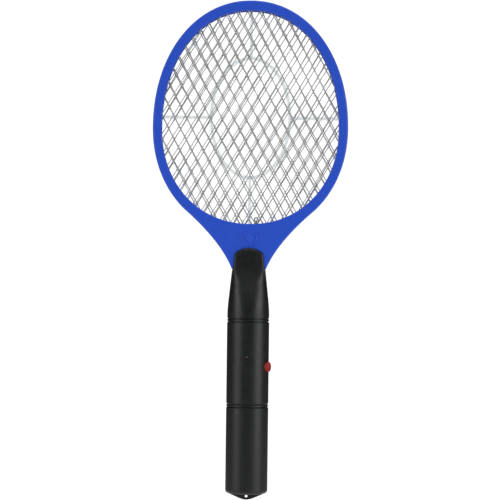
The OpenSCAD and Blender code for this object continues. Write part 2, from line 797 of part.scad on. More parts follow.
module battery_cap() stand() color(black) {
    corner_w = 3;
    corner_t = 3.2;
    end_h = cap_round_h - corner_t;
    rotate_extrude() polygon(concat(
        [[0, end_h]],
        [for (a = [0 : 15 : 90])
            [handle_r - corner_w * (1 - sin(a)), cap_round_h - corner_t * cos(a)]],
        [[handle_r, cap_top_h - 0.4], [handle_r - 0.4, cap_top_h], [cap_inner_r, cap_top_h],
         [cap_inner_r, end_h + 4.5], [cap_inner_r - 2.5, end_h + 2], [0, end_h + 2]]
    ));
    difference() {
        translate([0, lug_t / 2, 0]) rotate([90, 0, 0]) linear_extrude(lug_t) polygon(concat(
            [for (x = [-handle_r + 2 : 1.2 : handle_r - 2]) [x, lug_edge(x)]],
            [[handle_r - 2.2, end_h + 1], [-handle_r + 2.2, end_h + 1]]
        ));
        peg(lug_hole_r, -lug_t, lug_t, 0, lug_hole_h);
    }
}

front_frame();
rear_frame();
front_mesh();
centre_mesh();
rear_mesh();
front_spacer();
rear_spacer();
frame_screws();
outer_terminals();
centre_terminal();
outer_mesh_leads();
centre_mesh_lead();
handle_front();
handle_rear();
handle_screws();
push_button();
switch_body();
switch_plunger();
circuit_board();
transformer_core();
transformer_bobbin();
transformer_winding();
hv_capacitor();
doubler_capacitors();
doubler_diodes();
transistor();
resistors();
led();
battery_carrier();
bridge_contact();
positive_contact();
negative_contact();
battery_springs();
battery_1();
battery_2();
battery_leads();
battery_cap();
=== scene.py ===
import json
import math

import bmesh
import bpy
from mathutils import Matrix, Vector


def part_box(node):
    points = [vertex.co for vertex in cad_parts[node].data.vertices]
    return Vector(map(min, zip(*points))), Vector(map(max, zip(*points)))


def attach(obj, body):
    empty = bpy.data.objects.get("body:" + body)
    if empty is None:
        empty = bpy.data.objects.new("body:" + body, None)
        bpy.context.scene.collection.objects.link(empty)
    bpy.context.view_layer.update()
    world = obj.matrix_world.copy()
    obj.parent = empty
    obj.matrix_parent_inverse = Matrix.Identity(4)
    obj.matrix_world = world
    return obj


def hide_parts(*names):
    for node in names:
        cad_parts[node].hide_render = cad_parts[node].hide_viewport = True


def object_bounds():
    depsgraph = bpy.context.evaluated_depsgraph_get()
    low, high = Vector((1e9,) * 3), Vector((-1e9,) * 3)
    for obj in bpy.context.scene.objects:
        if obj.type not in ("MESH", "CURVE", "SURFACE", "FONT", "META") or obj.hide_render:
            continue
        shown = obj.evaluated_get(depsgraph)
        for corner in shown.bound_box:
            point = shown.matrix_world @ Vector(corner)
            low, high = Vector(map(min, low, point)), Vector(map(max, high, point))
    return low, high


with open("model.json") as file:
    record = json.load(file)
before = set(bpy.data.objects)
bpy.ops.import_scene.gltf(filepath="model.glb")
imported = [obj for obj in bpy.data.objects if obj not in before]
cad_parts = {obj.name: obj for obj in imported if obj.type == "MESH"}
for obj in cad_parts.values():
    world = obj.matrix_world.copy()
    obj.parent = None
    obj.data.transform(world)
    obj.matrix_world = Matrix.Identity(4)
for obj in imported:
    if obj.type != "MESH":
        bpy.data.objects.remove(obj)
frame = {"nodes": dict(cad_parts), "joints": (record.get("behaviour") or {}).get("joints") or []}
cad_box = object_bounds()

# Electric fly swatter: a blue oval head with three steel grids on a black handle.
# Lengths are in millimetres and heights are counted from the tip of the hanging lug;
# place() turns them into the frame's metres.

MM = 0.001
TIP = cad_box[0].z
FRONT, REAR = -1, 1


def place(x, y, h):
    return Vector((x * MM, y * MM, TIP + h * MM))


def node_box(node):
    """A CAD node's lowest and highest corner in millimetres, heights from the lug's tip."""
    low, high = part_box(node)
    base = Vector((0, 0, TIP))
    return (low - base) / MM, (high - base) / MM


def islands(node):
    """The middle of each loose part of a CAD node, as (x, y, height) in millimetres, from left to right and
    upwards."""
    shape = bmesh.new()
    shape.from_mesh(frame["nodes"][node].data)
    bmesh.ops.remove_doubles(shape, verts=shape.verts, dist=1e-6)
    left, middles = set(shape.verts), []
    while left:
        stack, part = [left.pop()], []
        while stack:
            vert = stack.pop()
            part.append(vert.co.copy())
            for edge in vert.link_edges:
                other = edge.other_vert(vert)
                if other in left:
                    left.remove(other)
                    stack.append(other)
        low = Vector([min(p[k] for p in part) for k in range(3)])
        high = Vector([max(p[k] for p in part) for k in range(3)])
        middle = (low + high) / 2 - Vector((0, 0, TIP))
        middles.append(middle / MM)
    shape.free()
    return sorted(middles, key=lambda p: (round(p.x), round(p.z)))


# ---------------------------------------------------------------- sizes

head_high = node_box("rear_frame")[1]
mesh_low, mesh_high = node_box("front_mesh")
handle_low, handle_high = node_box("handle_rear")
cap_high = node_box("battery_cap")[1]

OVERALL_H = head_high.z
HEAD_HALF_W = head_high.x
FRAME_HALF_T = head_high.y
HEAD_MID_H = 328.0
HEAD_DOWN = 95.0
HEAD_POWER = 2.08
THROAT_TOP_H = 256.0
THROAT_HALF_W = 14.8
THROAT_BEND = (24.7, 227.5)
SHOULDER_GAP = 0.2

MESH_MARGIN = 3.0
OPENING_HALF_W = mesh_high.x - MESH_MARGIN
OPENING_MID_H = 327.0
OPENING_UP = mesh_high.z - OPENING_MID_H - MESH_MARGIN
OPENING_DOWN = OPENING_MID_H - mesh_low.z - MESH_MARGIN
OPENING_POWER = 2.1
POCKET_MARGIN = 3.4
MESH_OUT = -mesh_low.y

HANDLE_R = handle_high.x
HANDLE_FOOT_H = handle_low.z
TONGUE_TIP_H = handle_high.z
COLLAR_FOOT_H = 156.2
COLLAR_TOP_H = 202.7
TONGUE_BEND_H = 217.0
WALL = 1.8
CAP_TOP_H = cap_high.z

# ---------------------------------------------------------------- mesh helpers


def linked(name, data):
    """A new object of the scene that holds data."""
    obj = bpy.data.objects.new(name, data)
    bpy.context.scene.collection.objects.link(obj)
    return obj


def mesh_object(name, verts, faces):
    """A mesh object whose vertices are given as (x, y, height) in millimetres."""
    mesh = bpy.data.meshes.new(name)
    mesh.from_pydata([place(*v) for v in verts], [], faces)
    return linked(name, mesh)


def tidy_mesh(obj):
    """Merges doubles and turns the faces outwards."""
    shape = bmesh.new()
    shape.from_mesh(obj.data)
    bmesh.ops.remove_doubles(shape, verts=shape.verts, dist=0.002 * MM)
    bmesh.ops.dissolve_degenerate(shape, edges=shape.edges, dist=0.001 * MM)
    bmesh.ops.recalc_face_normals(shape, faces=shape.faces)
    shape.to_mesh(obj.data)
    shape.free()
    return obj


def strips(rows, around=False, along=False):
    """Quads between rows of equal length: around closes each row, along closes the last row on the first."""
    count, width = len(rows), len(rows[0])
    verts = [p for row in rows for p in row]
    faces = []
    for i in range(count if along else count - 1):
        for j in range(width if around else width - 1):
            a, b = i * width, (i + 1) % count * width
            k = (j + 1) % width
            faces.append((a + j, a + k, b + k, b + j))
    return verts, faces


def loft(name, rows, capped=True, along=False):
    """A closed solid through closed rows, with flat ends."""
    verts, faces = strips(rows, around=True, along=along)
    if capped and not along:
        width = len(rows[0])
        faces.append(tuple(range(width)))
        faces.append(tuple(len(verts) - width + k for k in range(width)))
    return tidy_mesh(mesh_object(name, verts, faces))


def lathe(name, profile, middle=(0, 0), steps=96):
    """A solid of revolution about the vertical through middle. The profile is (radius, height) from the
    bottom pole to the top pole, or a closed loop."""
    turns = [2 * math.pi * k / steps for k in range(steps)]
    x, y = middle
    rows = [[(x + r * math.cos(t), y + r * math.sin(t), h) for t in turns] for r, h in profile]
    open_ended = profile[0][0] > 1e-6 or profile[-1][0] > 1e-6
    return loft(name, rows, capped=False, along=open_ended)


def arc(middle, radius, start, end, steps):
    """Points on a circle's arc, angles in degrees."""
    turns = [math.radians(start + (end - start) * k / steps) for k in range(steps + 1)]
    return [(middle[0] + radius * math.cos(t), middle[1] + radius * math.sin(t)) for t in turns]


def stand(x, y, h, degrees, axis="X"):
    """A turn about an axis and then a move to (x, y, height)."""
    return Matrix.Translation((x, y, h)) @ Matrix.Rotation(math.radians(degrees), 4, axis)


def turned(obj, matrix):
    """Applies a turn, given in millimetres and heights from the tip, to the mesh itself."""
    base = Matrix.Translation((0, 0, TIP)) @ Matrix.Scale(MM, 4)
    obj.data.transform(base @ matrix @ base.inverted())
    return obj


def joined(name, objects):
    """One object of several closed shells."""
    shape = bmesh.new()
    for obj in objects:
        shape.from_mesh(obj.data)
    mesh = bpy.data.meshes.new(name)
    shape.to_mesh(mesh)
    shape.free()
    for obj in objects:
        bpy.data.objects.remove(obj)
    return linked(name, mesh)


def plain(obj):
    """Turns an object with modifiers into the plain mesh that they give."""
    depsgraph = bpy.context.evaluated_depsgraph_get()
    mesh = bpy.data.meshes.new_from_object(obj.evaluated_get(depsgraph))
    obj.modifiers.clear()
    obj.data = mesh
    return obj


def cut(obj, cutters):
    """Takes the cutters' shapes out of obj."""
    for cutter in cutters:
        hole = obj.modifiers.new("hole", "BOOLEAN")
        hole.operation = "DIFFERENCE"
        hole.solver = "EXACT"
        hole.object = cutter
    plain(obj)
    for cutter in cutters:
        bpy.data.objects.remove(cutter)
    return obj


def peg(name, radius, y0, y1, x, h, steps=48):
    """A round bar along Y."""
    length = abs(y1 - y0)
    bar = lathe(name, [(0, 0), (radius, 0), (radius, length), (0, length)], steps=steps)
    return turned(bar, stand(x, y0, h, -90 if y1 > y0 else 90))


def finished(obj, body, nodes, material, sharp_angle=38, even=True):
    """The last steps for every piece: shading, material, its body, and the CAD nodes it stands for."""
    obj.data.shade_smooth()
    obj.data.set_sharp_from_angle(angle=math.radians(sharp_angle))
    if even:
        weights = obj.modifiers.new("even_shading", "WEIGHTED_NORMAL")
        weights.keep_sharp = True
        plain(obj)
    obj.data.materials.clear()
    obj.data.materials.append(material)
    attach(obj, body)
    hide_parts(*nodes)
    return obj


# ---------------------------------------------------------------- materials


def colour(code):
    """A linear RGBA colour from an sRGB hex code."""
    channels = [int(code[k : k + 2], 16) / 255 for k in (1, 3, 5)]
    linear = [c / 12.92 if c <= 0.04045 else ((c + 0.055) / 1.055) ** 2.4 for c in channels]
    return (*linear, 1.0)


def add(tree, kind, inputs=(), **settings):
    """Adds a node: settings are its properties, inputs its sockets' values or the sockets that feed them."""
    made = tree.nodes.new(kind)
    for key, value in settings.items():
        setattr(made, key, value)
    for key, value in dict(inputs).items():
        if isinstance(value, bpy.types.NodeSocket):
            tree.links.new(value, made.inputs[key])
        else:
            made.inputs[key].default_value = value
    return made


RUB_SCALE = (1100.0, 1100.0, 70.0)
RUB_TURN = (0.25, 0.15, 0.0)


def surface(name, base, second, cloud_mm, roughness, spread, grain_mm, depth_mm, edge_mm=0.0, **shader):
    """A moulded, coated or drawn surface: two close colours in soft clouds of cloud_mm, a roughness that
    varies with them and rises in thin rubs along the handle, and a fine grain in the bump. edge_mm eases
    sharp edges."""
    material = bpy.data.materials.new(name)
    material.use_nodes = True
    tree = material.node_tree
    tree.nodes.clear()
    where = add(tree, "ShaderNodeTexCoord").outputs["Object"]
    clouds = add(tree, "ShaderNodeTexNoise", {"Vector": where, "Scale": 1 / (cloud_mm * MM), "Detail": 3.0})
    cloud = clouds.outputs["Fac"]
    mix = add(tree, "ShaderNodeMix", {0: cloud, 6: colour(base), 7: colour(second)}, data_type="RGBA")
    gloss = add(tree, "ShaderNodeMapRange", {"Value": cloud, "From Min": 0.3, "From Max": 0.7,
                                             "To Min": roughness - spread, "To Max": roughness + spread})
    drawn = add(tree, "ShaderNodeMapping", {"Vector": where, "Scale": RUB_SCALE, "Rotation": RUB_TURN})
    rubs = add(tree, "ShaderNodeTexNoise", {"Vector": drawn.outputs["Vector"], "Scale": 1.0, "Detail": 3.0})
    scuffs = add(tree, "ShaderNodeMapRange", {"Value": rubs.outputs["Fac"], "From Min": 0.58,
                                              "From Max": 0.72, "To Min": 0.0, "To Max": 0.1})
    worn = add(tree, "ShaderNodeMath",
               {0: gloss.outputs["Result"], 1: scuffs.outputs["Result"]}, operation="ADD")
    grain = add(tree, "ShaderNodeTexNoise", {"Vector": where, "Scale": 1 / (grain_mm * MM), "Detail": 2.0})
    relief = {"Strength": 1.0, "Distance": depth_mm * MM, "Height": grain.outputs["Fac"]}
    if edge_mm:
        eased = add(tree, "ShaderNodeBevel", {"Radius": edge_mm * MM}, samples=4)
        relief["Normal"] = eased.outputs["Normal"]
    bump = add(tree, "ShaderNodeBump", relief)
    look = {"Base Color": mix.outputs[2], "Roughness": worn.outputs["Value"],
            "Normal": bump.outputs["Normal"]}
    look.update({key.replace("_", " "): value for key, value in shader.items()})
    bsdf = add(tree, "ShaderNodeBsdfPrincipled", look)
    add(tree, "ShaderNodeOutputMaterial", {"Surface": bsdf.outputs["BSDF"]})
    return material


# The numbers are the clouds' size, the roughness and its spread, and the grain's size and depth; the sizes
# are in millimetres.
# ABS from a polished tool: an even royal blue satin with the faint orange peel of the mould
blue_abs = surface("moulded_abs_blue", "#3060ea", "#2c59dc", 9, 0.36, 0.05, 0.7, 0.016, IOR=1.53)
# ABS from a finely sparked tool: a deep black whose soft sheen breaks up at close range
black_abs = surface("sparked_abs_black", "#0a0c0e", "#0f1214", 5, 0.41, 0.04, 0.4, 0.014, IOR=1.53)
# The tray's black ABS: duller, with mould-eased edges that catch a thin line of light
tray_abs = surface("moulded_abs_tray", "#0f1113", "#15181a", 7, 0.46, 0.05, 0.5, 0.012, edge_mm=0.3,
                   IOR=1.53)
# Slit and stretched steel: grey strands with a dull glint along one side
grid_steel = surface("expanded_steel", "#e0e1de", "#c6c8c5", 6, 0.5, 0.1, 0.3, 0.01, Metallic=1.0)
# Natural polypropylene: milky and faintly blue, so the spacer shows through the grids as a pale shade
milky_plastic = surface("natural_polypropylene", "#dde8ee", "#cfdde6", 12, 0.4, 0.06, 0.5, 0.01, IOR=1.49,
                        Alpha=0.17)
# Zinc plated steel: small bright heads with a cool glint
zinc_steel = surface("zinc_plated_steel", "#b9bcc0", "#9fa3a8", 1.5, 0.28, 0.08, 0.2, 0.005, Metallic=1.0)
# Red ABS, rubbed dull by the thumb: the one warm spot on the handle
red_abs = surface("moulded_abs_red", "#b4281e", "#9c2018", 4, 0.4, 0.06, 0.4, 0.014, IOR=1.53)
# Tinted epoxy of an unlit lamp: a small dark pink dome with a sharp point of light
lamp_epoxy = surface("tinted_epoxy", "#4c2f33", "#402529", 1.5, 0.3, 0.04, 0.5, 0.003, IOR=1.55)
# Oxidised tinned brass: dark little rings at the foot of the grids
tinned_brass = surface("tinned_brass", "#3c3833", "#2e2b27", 1.2, 0.35, 0.08, 0.2, 0.005, Metallic=1.0)
# Soft PVC insulation: waxy colour without hard highlights, red for the outer grids and the cells
red_pvc = surface("pvc_red", "#9c1c1c", "#861616", 3, 0.45, 0.05, 0.3, 0.01, IOR=1.52)
# The same insulation in blue, which marks the centre grid's lead
blue_pvc = surface("pvc_blue", "#1e3f98", "#193484", 3, 0.45, 0.05, 0.3, 0.01, IOR=1.52)
# Glass-filled PBT of the switch: flat black with a dusty look
switch_black = surface("moulded_pbt_black", "#191a1c", "#222326", 3, 0.5, 0.05, 0.3, 0.01, edge_mm=0.2,
                       IOR=1.5)
# Natural acetal of the plunger: a warm, slippery white
switch_white = surface("moulded_pom_white", "#e4e2d8", "#d6d4ca", 3, 0.4, 0.05, 0.3, 0.01, IOR=1.48)
# Solder mask: glossy green with a slight ripple over the copper
solder_mask = surface("solder_mask_green", "#1f5f36", "#184e2b", 4, 0.35, 0.08, 0.6, 0.02, IOR=1.5)
# Sintered ferrite: charcoal grey, matt and gritty like slate
ferrite = surface("sintered_ferrite", "#2f3033", "#3b3c40", 1.5, 0.6, 0.08, 0.25, 0.02, IOR=1.6)
# Natural nylon of the bobbin: a yellowish cream
bobbin_plastic = surface("moulded_nylon", "#e2dcc2", "#d3ccb0", 3, 0.5, 0.06, 0.3, 0.01, IOR=1.53)
# Enamelled copper wire: a warm brown shine broken up by the turns
copper_wire = surface("enamelled_copper", "#b3642a", "#8f4a1c", 0.6, 0.3, 0.06, 0.15, 0.02, Metallic=1.0)
# Dipped epoxy: thick, glossy and uneven like glaze, brown on the film capacitor
brown_epoxy = surface("dipped_epoxy_brown", "#7c2c1c", "#6a2416", 4, 0.28, 0.05, 0.8, 0.02, IOR=1.55)
# The same glaze in blue, on the two disc capacitors
blue_epoxy = surface("dipped_epoxy_blue", "#2a62a2", "#22548e", 3, 0.28, 0.05, 0.8, 0.02, IOR=1.55)
# Moulded epoxy of diodes and transistor: dull black with a fine tooth
black_epoxy = surface("moulded_epoxy_black", "#1b1b1d", "#252528", 2, 0.5, 0.06, 0.2, 0.01, IOR=1.55)
# Resistor lacquer: a smooth tan with a soft sheen
tan_lacquer = surface("lacquer_tan", "#c0a578", "#ae9366", 2, 0.35, 0.05, 0.3, 0.01, IOR=1.5)
# Nickel plate: bright, slightly warm metal of contacts, springs and cell ends
nickel_plate = surface("nickel_plated_steel", "#c4c3bc", "#aeada6", 1.5, 0.25, 0.06, 0.2, 0.004, edge_mm=0.1,
                       Metallic=1.0)
# Shrunk and printed film round a cell: slate grey, tight and smooth
cell_jacket = surface("printed_cell_jacket", "#3a3f45", "#33383d", 6, 0.32, 0.04, 0.9, 0.002, IOR=1.5)
# Metallic ink at a cell's positive end: a plain band of dark gold
jacket_band = surface("metallic_ink_band", "#b98a3c", "#a87c34", 4, 0.34, 0.05, 0.9, 0.002, Metallic=1.0)

# ---------------------------------------------------------------- outlines of the head


def oval_point(half_w, up, down, power, t):
    c, s = math.cos(t), math.sin(t)
    x = half_w * math.copysign(abs(c) ** (2 / power), c)
    z = (up if s > 0 else down) * math.copysign(abs(s) ** (2 / power), s)
    return Vector((x, z))


def bend(a, b, c, u):
    return (1 - u) * (1 - u) * a + 2 * u * (1 - u) * b + u * u * c


def head_outline():
    """Points round the head's outer edge, clockwise from the top."""
    last = math.asin(((HEAD_MID_H - THROAT_TOP_H) / HEAD_DOWN) ** (HEAD_POWER / 2))
    rise = OVERALL_H - HEAD_MID_H
    oval_steps, throat_steps, foot_steps = 84, 26, 6
    turns = [math.pi / 2 - (math.pi / 2 + last) * k / oval_steps for k in range(oval_steps)] + [-last]
    *right, start = [oval_point(HEAD_HALF_W, rise, HEAD_DOWN, HEAD_POWER, t) + Vector((0, HEAD_MID_H))
                     for t in turns]
    foot = Vector((THROAT_HALF_W, COLLAR_TOP_H + SHOULDER_GAP))
    right += [bend(start, Vector(THROAT_BEND), foot, k / throat_steps) for k in range(throat_steps + 1)]
    base = [Vector((THROAT_HALF_W * (1 - 2 * k / foot_steps), foot.y)) for k in range(1, foot_steps)]
    return right + base + [Vector((-p.x, p.y)) for p in reversed(right[1:])]


def opening_point(direction, margin):
    """The opening's edge, moved out by margin, in a direction seen from the opening's middle."""
    half_w, down, up = (size + margin for size in (OPENING_HALF_W, OPENING_DOWN, OPENING_UP))
    tall = up if direction.y > 0 else down
    shares = abs(direction.x / half_w) ** OPENING_POWER + abs(direction.y / tall) ** OPENING_POWER
    return direction * shares ** (-1 / OPENING_POWER) + Vector((0, OPENING_MID_H))


def inset_outline(points, inset):
    """A closed outline moved inwards along its own normals."""
    moved = []
    for k, p in enumerate(points):
        ahead = points[(k + 1) % len(points)] - points[k - 1]
        inward = Vector((ahead.y, -ahead.x)).normalized()
        moved.append(p + inward * inset)
    return moved


head_points = head_outline()


def frame_half(name, side):
    """Half of the head's frame: outer wall, rounded edge, flat face, lip and the pocket for the grids."""
    edge_r, lip_r, seam = 1.5, 0.7, 0.2
    outer = [(seam, 0.0), (0.0, seam)]
    outer += [(edge_r - x, y) for x, y in arc((0, FRAME_HALF_T - edge_r), edge_r, 0, 90, 8)]
    lip = [(lip_r - x, y) for x, y in arc((0, FRAME_HALF_T - lip_r), lip_r, 90, 0, 4)]
    inner = [(-m, y) for m, y in lip] + [(0, MESH_OUT), (POCKET_MARGIN, MESH_OUT), (POCKET_MARGIN, 0.0)]
    middle = Vector((0, OPENING_MID_H))
    rows = []
    for inset, depth in outer:
        rows.append([(p.x, side * depth, p.y) for p in inset_outline(head_points, inset)])
    for margin, depth in inner:
        reach = -margin if depth > MESH_OUT else margin
        ring = [opening_point((p - middle).normalized(), reach) for p in head_points]
        rows.append([(p.x, side * depth, p.y) for p in ring])
    rim = loft(name, rows, along=True)
    return joined(name, [rim, neck(side)])


def neck(side):
    """The part of the frame that goes down into the collar."""
    half_w, low, high, corner = 10.4, 166.0, COLLAR_TOP_H + 2, 0.6
    face_w, edge_y = half_w - corner, FRAME_HALF_T - corner
    outline = [(-half_w, 0.0), (half_w, 0.0), (half_w, edge_y), (face_w, FRAME_HALF_T),
               (-face_w, FRAME_HALF_T), (-half_w, edge_y)]
    return loft("neck", [[(x, side * y, h) for x, y in outline] for h in (low, high)])


def badge():
    """A plain raised ring and a low boss in its middle, on the throat."""
    ring_r, band, height, sunk, h = 7.1, 1.1, 0.6, -0.2, 230.7
    loop = [(ring_r - band / 2 + x * band / 2, y * height) for x, y in arc((0, 0), 1.0, 0, 180, 10)]
    ring = lathe("badge_ring", loop + [(ring_r - band, sunk), (ring_r, sunk)])
    dome = [(2.8, sunk), (2.7, 0.25), (2.3, 0.5), (1.3, 0.62), (0, 0.66)]
    boss = lathe("badge_boss", [(0, sunk), *dome])
    on_face = stand(0, -FRAME_HALF_T, h, 90)
    return [turned(ring, on_face), turned(boss, on_face)]


front_frame = joined("front_frame_shell", [frame_half("front_rim", FRONT), *badge()])
finished(front_frame, "swatter", ["front_frame"], blue_abs)

rim_screws = islands("frame_screws")
rear_frame = frame_half("rear_frame_shell", REAR)
BORE_R, BORE_DEPTH = 2.05, 1.2
BORE_FLOOR_Y = FRAME_HALF_T - BORE_DEPTH
counterbores = [peg("bore", BORE_R, BORE_FLOOR_Y, FRAME_HALF_T + 1, p.x, p.z) for p in rim_screws]
finished(cut(rear_frame, counterbores), "swatter", ["rear_frame"], blue_abs)

# ---------------------------------------------------------------- grids

STRAND_SPACING, ROW_SPACING, STRAND_R = 10.5, 19.0, 0.47
KNUCKLE, LAP = 0.12, 0.16
STRANDS_EACH_WAY, ROWS_EACH_WAY, POINTS_A_ROW = 16, 24, 8


def node_group(name, sockets):
    """A geometry node tree with named inputs of these kinds. Returns the tree and its input sockets."""
    tree = bpy.data.node_groups.new(name, "GeometryNodeTree")
    tree.is_modifier = True
    for key, kind in {"Geometry": "Geometry", **sockets}.items():
        tree.interface.new_socket(key, in_out="INPUT", socket_type="NodeSocket" + kind)
    tree.interface.new_socket("Geometry", in_out="OUTPUT", socket_type="NodeSocketGeometry")
    return tree, add(tree, "NodeGroupInput").outputs


def end_group(tree, geometry, material):
    """The end of every tree: the instances made real, with their material."""
    real = add(tree, "GeometryNodeRealizeInstances", {"Geometry": geometry})
    coated = add(tree, "GeometryNodeSetMaterial", {"Geometry": real.outputs[0], "Material": material})
    add(tree, "NodeGroupOutput", {"Geometry": coated.outputs[0]})
    return tree


def generated(name, points, tree, values):
    """The plain mesh that a tree makes from points, given as (x, y, height), and values for its inputs."""
    obj = mesh_object(name, points, [])
    maker = obj.modifiers.new(tree.name, "NODES")
    maker.node_group = tree
    for item in tree.interface.items_tree:
        if item.in_out == "INPUT" and item.name in values:
            maker[item.identifier] = values[item.name]
    return plain(obj)


def grid_tree():
    """Expanded metal: two families of strands that lean both ways, straighten where they meet, wander a
    little and end at an oval."""
    sizes = ("Diamond Width", "Diamond Height", "Strand Radius", "Lean", "Half Width", "Up", "Down", "Power",
             "Knuckle")
    tree, given = node_group("expanded_metal", {
        **{key: "Float" for key in sizes}, "Shift": "Vector", "Middle": "Vector", "Steel": "Material"})

    def out(kind, inputs=(), **settings):
        return add(tree, kind, inputs, **settings).outputs[0]

    def maths(operation, a, b=0.0):
        return out("ShaderNodeMath", {0: a, 1: b}, operation=operation)

    def vector_maths(operation, a, b):
        return out("ShaderNodeVectorMath", {0: a, 1: b}, operation=operation)

    def vector(**parts):
        return out("ShaderNodeCombineXYZ", parts)

    def position():
        return out("GeometryNodeInputPosition")

    def move(geometry, offset):
        return out("GeometryNodeSetPosition", {"Geometry": geometry, "Offset": offset})

    both = add(tree, "GeometryNodeJoinGeometry")
    for lean in (-1, 1):
        end = vector(X=maths("MULTIPLY", given["Diamond Width"], lean * ROWS_EACH_WAY / 2),
                     Z=maths("MULTIPLY", given["Diamond Height"], ROWS_EACH_WAY / 2))
        start = vector_maths("MULTIPLY", end, (-1.0, -1.0, -1.0))
        line = out("GeometryNodeCurvePrimitiveLine", {"Start": start, "End": end})
        count = ROWS_EACH_WAY * 2 * POINTS_A_ROW + 1
        fine = out("GeometryNodeResampleCurve", {"Curve": line, "Count": count})
        row = out("GeometryNodeMeshLine", {
            "Count": 2 * STRANDS_EACH_WAY + 1, "Offset": vector(X=given["Diamond Width"]),
            "Start Location": vector(X=maths("MULTIPLY", given["Diamond Width"], -STRANDS_EACH_WAY))})
        field = out("GeometryNodeInstanceOnPoints", {"Points": row, "Instance": fine})
        real = out("GeometryNodeRealizeInstances", {"Geometry": field})
        height = add(tree, "ShaderNodeSeparateXYZ", {0: position()}).outputs["Z"]
        rows_up = maths("DIVIDE", height, maths("MULTIPLY", given["Diamond Height"], 0.5))
        wave = maths("SINE", maths("MULTIPLY", rows_up, 2 * math.pi))
        swing = maths("MULTIPLY", given["Diamond Width"], -lean / (4 * math.pi))
        ease = maths("MULTIPLY", maths("MULTIPLY", wave, swing), given["Knuckle"])
        half_turns = maths("MULTIPLY", rows_up, math.pi)
        lift = maths("MULTIPLY", maths("SINE", half_turns), lean * LAP * MM)
        crossing = maths("POWER", maths("ABSOLUTE", maths("COSINE", half_turns)), 6.0)
        swell = maths("ADD", maths("MULTIPLY", crossing, 0.3), 0.9)
        knuckled = out("GeometryNodeSetCurveRadius", {"Curve": real, "Radius": swell})
        tree.links.new(move(knuckled, vector(X=ease, Y=lift)), both.inputs[0])
    leant = out("GeometryNodeTransform", {
        "Geometry": both.outputs[0], "Translation": vector_maths("ADD", given["Shift"], given["Middle"]),
        "Rotation": vector(Y=given["Lean"])})
    wander = add(tree, "ShaderNodeTexNoise", {"Vector": position(), "Scale": 30.0, "Detail": 1.0},
                 noise_dimensions="3D")
    centred = vector_maths("SUBTRACT", wander.outputs["Color"], (0.5, 0.5, 0.5))
    bent = move(leant, vector_maths("MULTIPLY", centred, (0.9 * MM, 0.0, 0.9 * MM)))
    from_middle = vector_maths("SUBTRACT", position(), given["Middle"])
    part = add(tree, "ShaderNodeSeparateXYZ", {0: from_middle}).outputs
    above = maths("GREATER_THAN", part["Z"])
    tall = out("ShaderNodeMix", {0: above, 2: given["Down"], 3: given["Up"]}, data_type="FLOAT")
    reach = [maths("POWER", maths("ABSOLUTE", maths("DIVIDE", size, limit)), given["Power"])
             for size, limit in ((part["X"], given["Half Width"]), (part["Z"], tall))]
    outside = maths("GREATER_THAN", maths("ADD", *reach), 1.0)
    kept = out("GeometryNodeDeleteGeometry", {"Geometry": bent, "Selection": outside}, domain="POINT")
    wire = out("GeometryNodeCurvePrimitiveCircle", {"Resolution": 6, "Radius": given["Strand Radius"]})
    bars = out("GeometryNodeCurveToMesh", {
        "Curve": kept, "Profile Curve": wire, "Fill Caps": True, "Scale": out("GeometryNodeInputRadius")})
    return end_group(tree, bars, given["Steel"])


expanded_metal = grid_tree()


def grid(name, node, lean, shift_x, shift_z):
    """One of the three grids, in the plane of its CAD node; the pattern leans and is shifted a little."""
    low, high = node_box(node)
    margin = (MESH_MARGIN - 0.4) * MM
    obj = generated(name, [(0, 0, 0)], expanded_metal, {
        "Diamond Width": STRAND_SPACING * MM, "Diamond Height": ROW_SPACING * MM,
        "Strand Radius": STRAND_R * MM, "Knuckle": KNUCKLE,
        "Lean": math.radians(lean), "Shift": (shift_x * MM, 0.0, shift_z * MM),
        "Half Width": OPENING_HALF_W * MM + margin, "Up": OPENING_UP * MM + margin,
        "Down": OPENING_DOWN * MM + margin, "Power": OPENING_POWER,
        "Middle": place(0, (low.y + high.y) / 2, OPENING_MID_H), "Steel": grid_steel,
    })
    return finished(obj, "swatter", [node], grid_steel, sharp_angle=80, even=False)


grid("front_grid", "front_mesh", 1.5, 0.0, 0.0)
grid("centre_grid", "centre_mesh", 1.9, 1.5, -2.6)
grid("rear_grid", "rear_mesh", 0.2, 1.3, -0.3)

# ---------------------------------------------------------------- spacers

SPACER_EASE = 0.4


def band_ring(name, outer_points, inner_points, y0, y1):
    """A flat ring between two outlines, its four edges eased."""
    eased = []
    for outer, inner in zip(outer_points, inner_points):
        way = (inner - outer).normalized() * SPACER_EASE
        eased.append((outer, outer + way, inner - way, inner))
    low, high = y0 + SPACER_EASE, y1 - SPACER_EASE
    around = ((0, low), (0, high), (1, y1), (2, y1), (3, high), (3, low), (2, y0), (1, y0))
    return loft(name, [[(four[k].x, y, four[k].y) for four in eased] for k, y in around], along=True)


def spoke(name, start, end, width, y0, y1):
    """A straight bar between two points of the front view, with eased edges."""
    way = (end - start).normalized()
    side = Vector((-way.y, way.x)) * width / 2
    small = side * (1 - 2 * SPACER_EASE / width)
    low, high = y0 + SPACER_EASE, y1 - SPACER_EASE
    outline = [(side, low), (side, high), (small, y1), (-small, y1),
               (-side, high), (-side, low), (-small, y0), (small, y0)]
    return loft(name, [[((p + s).x, y, (p + s).y) for s, y in outline] for p in (start, end)])


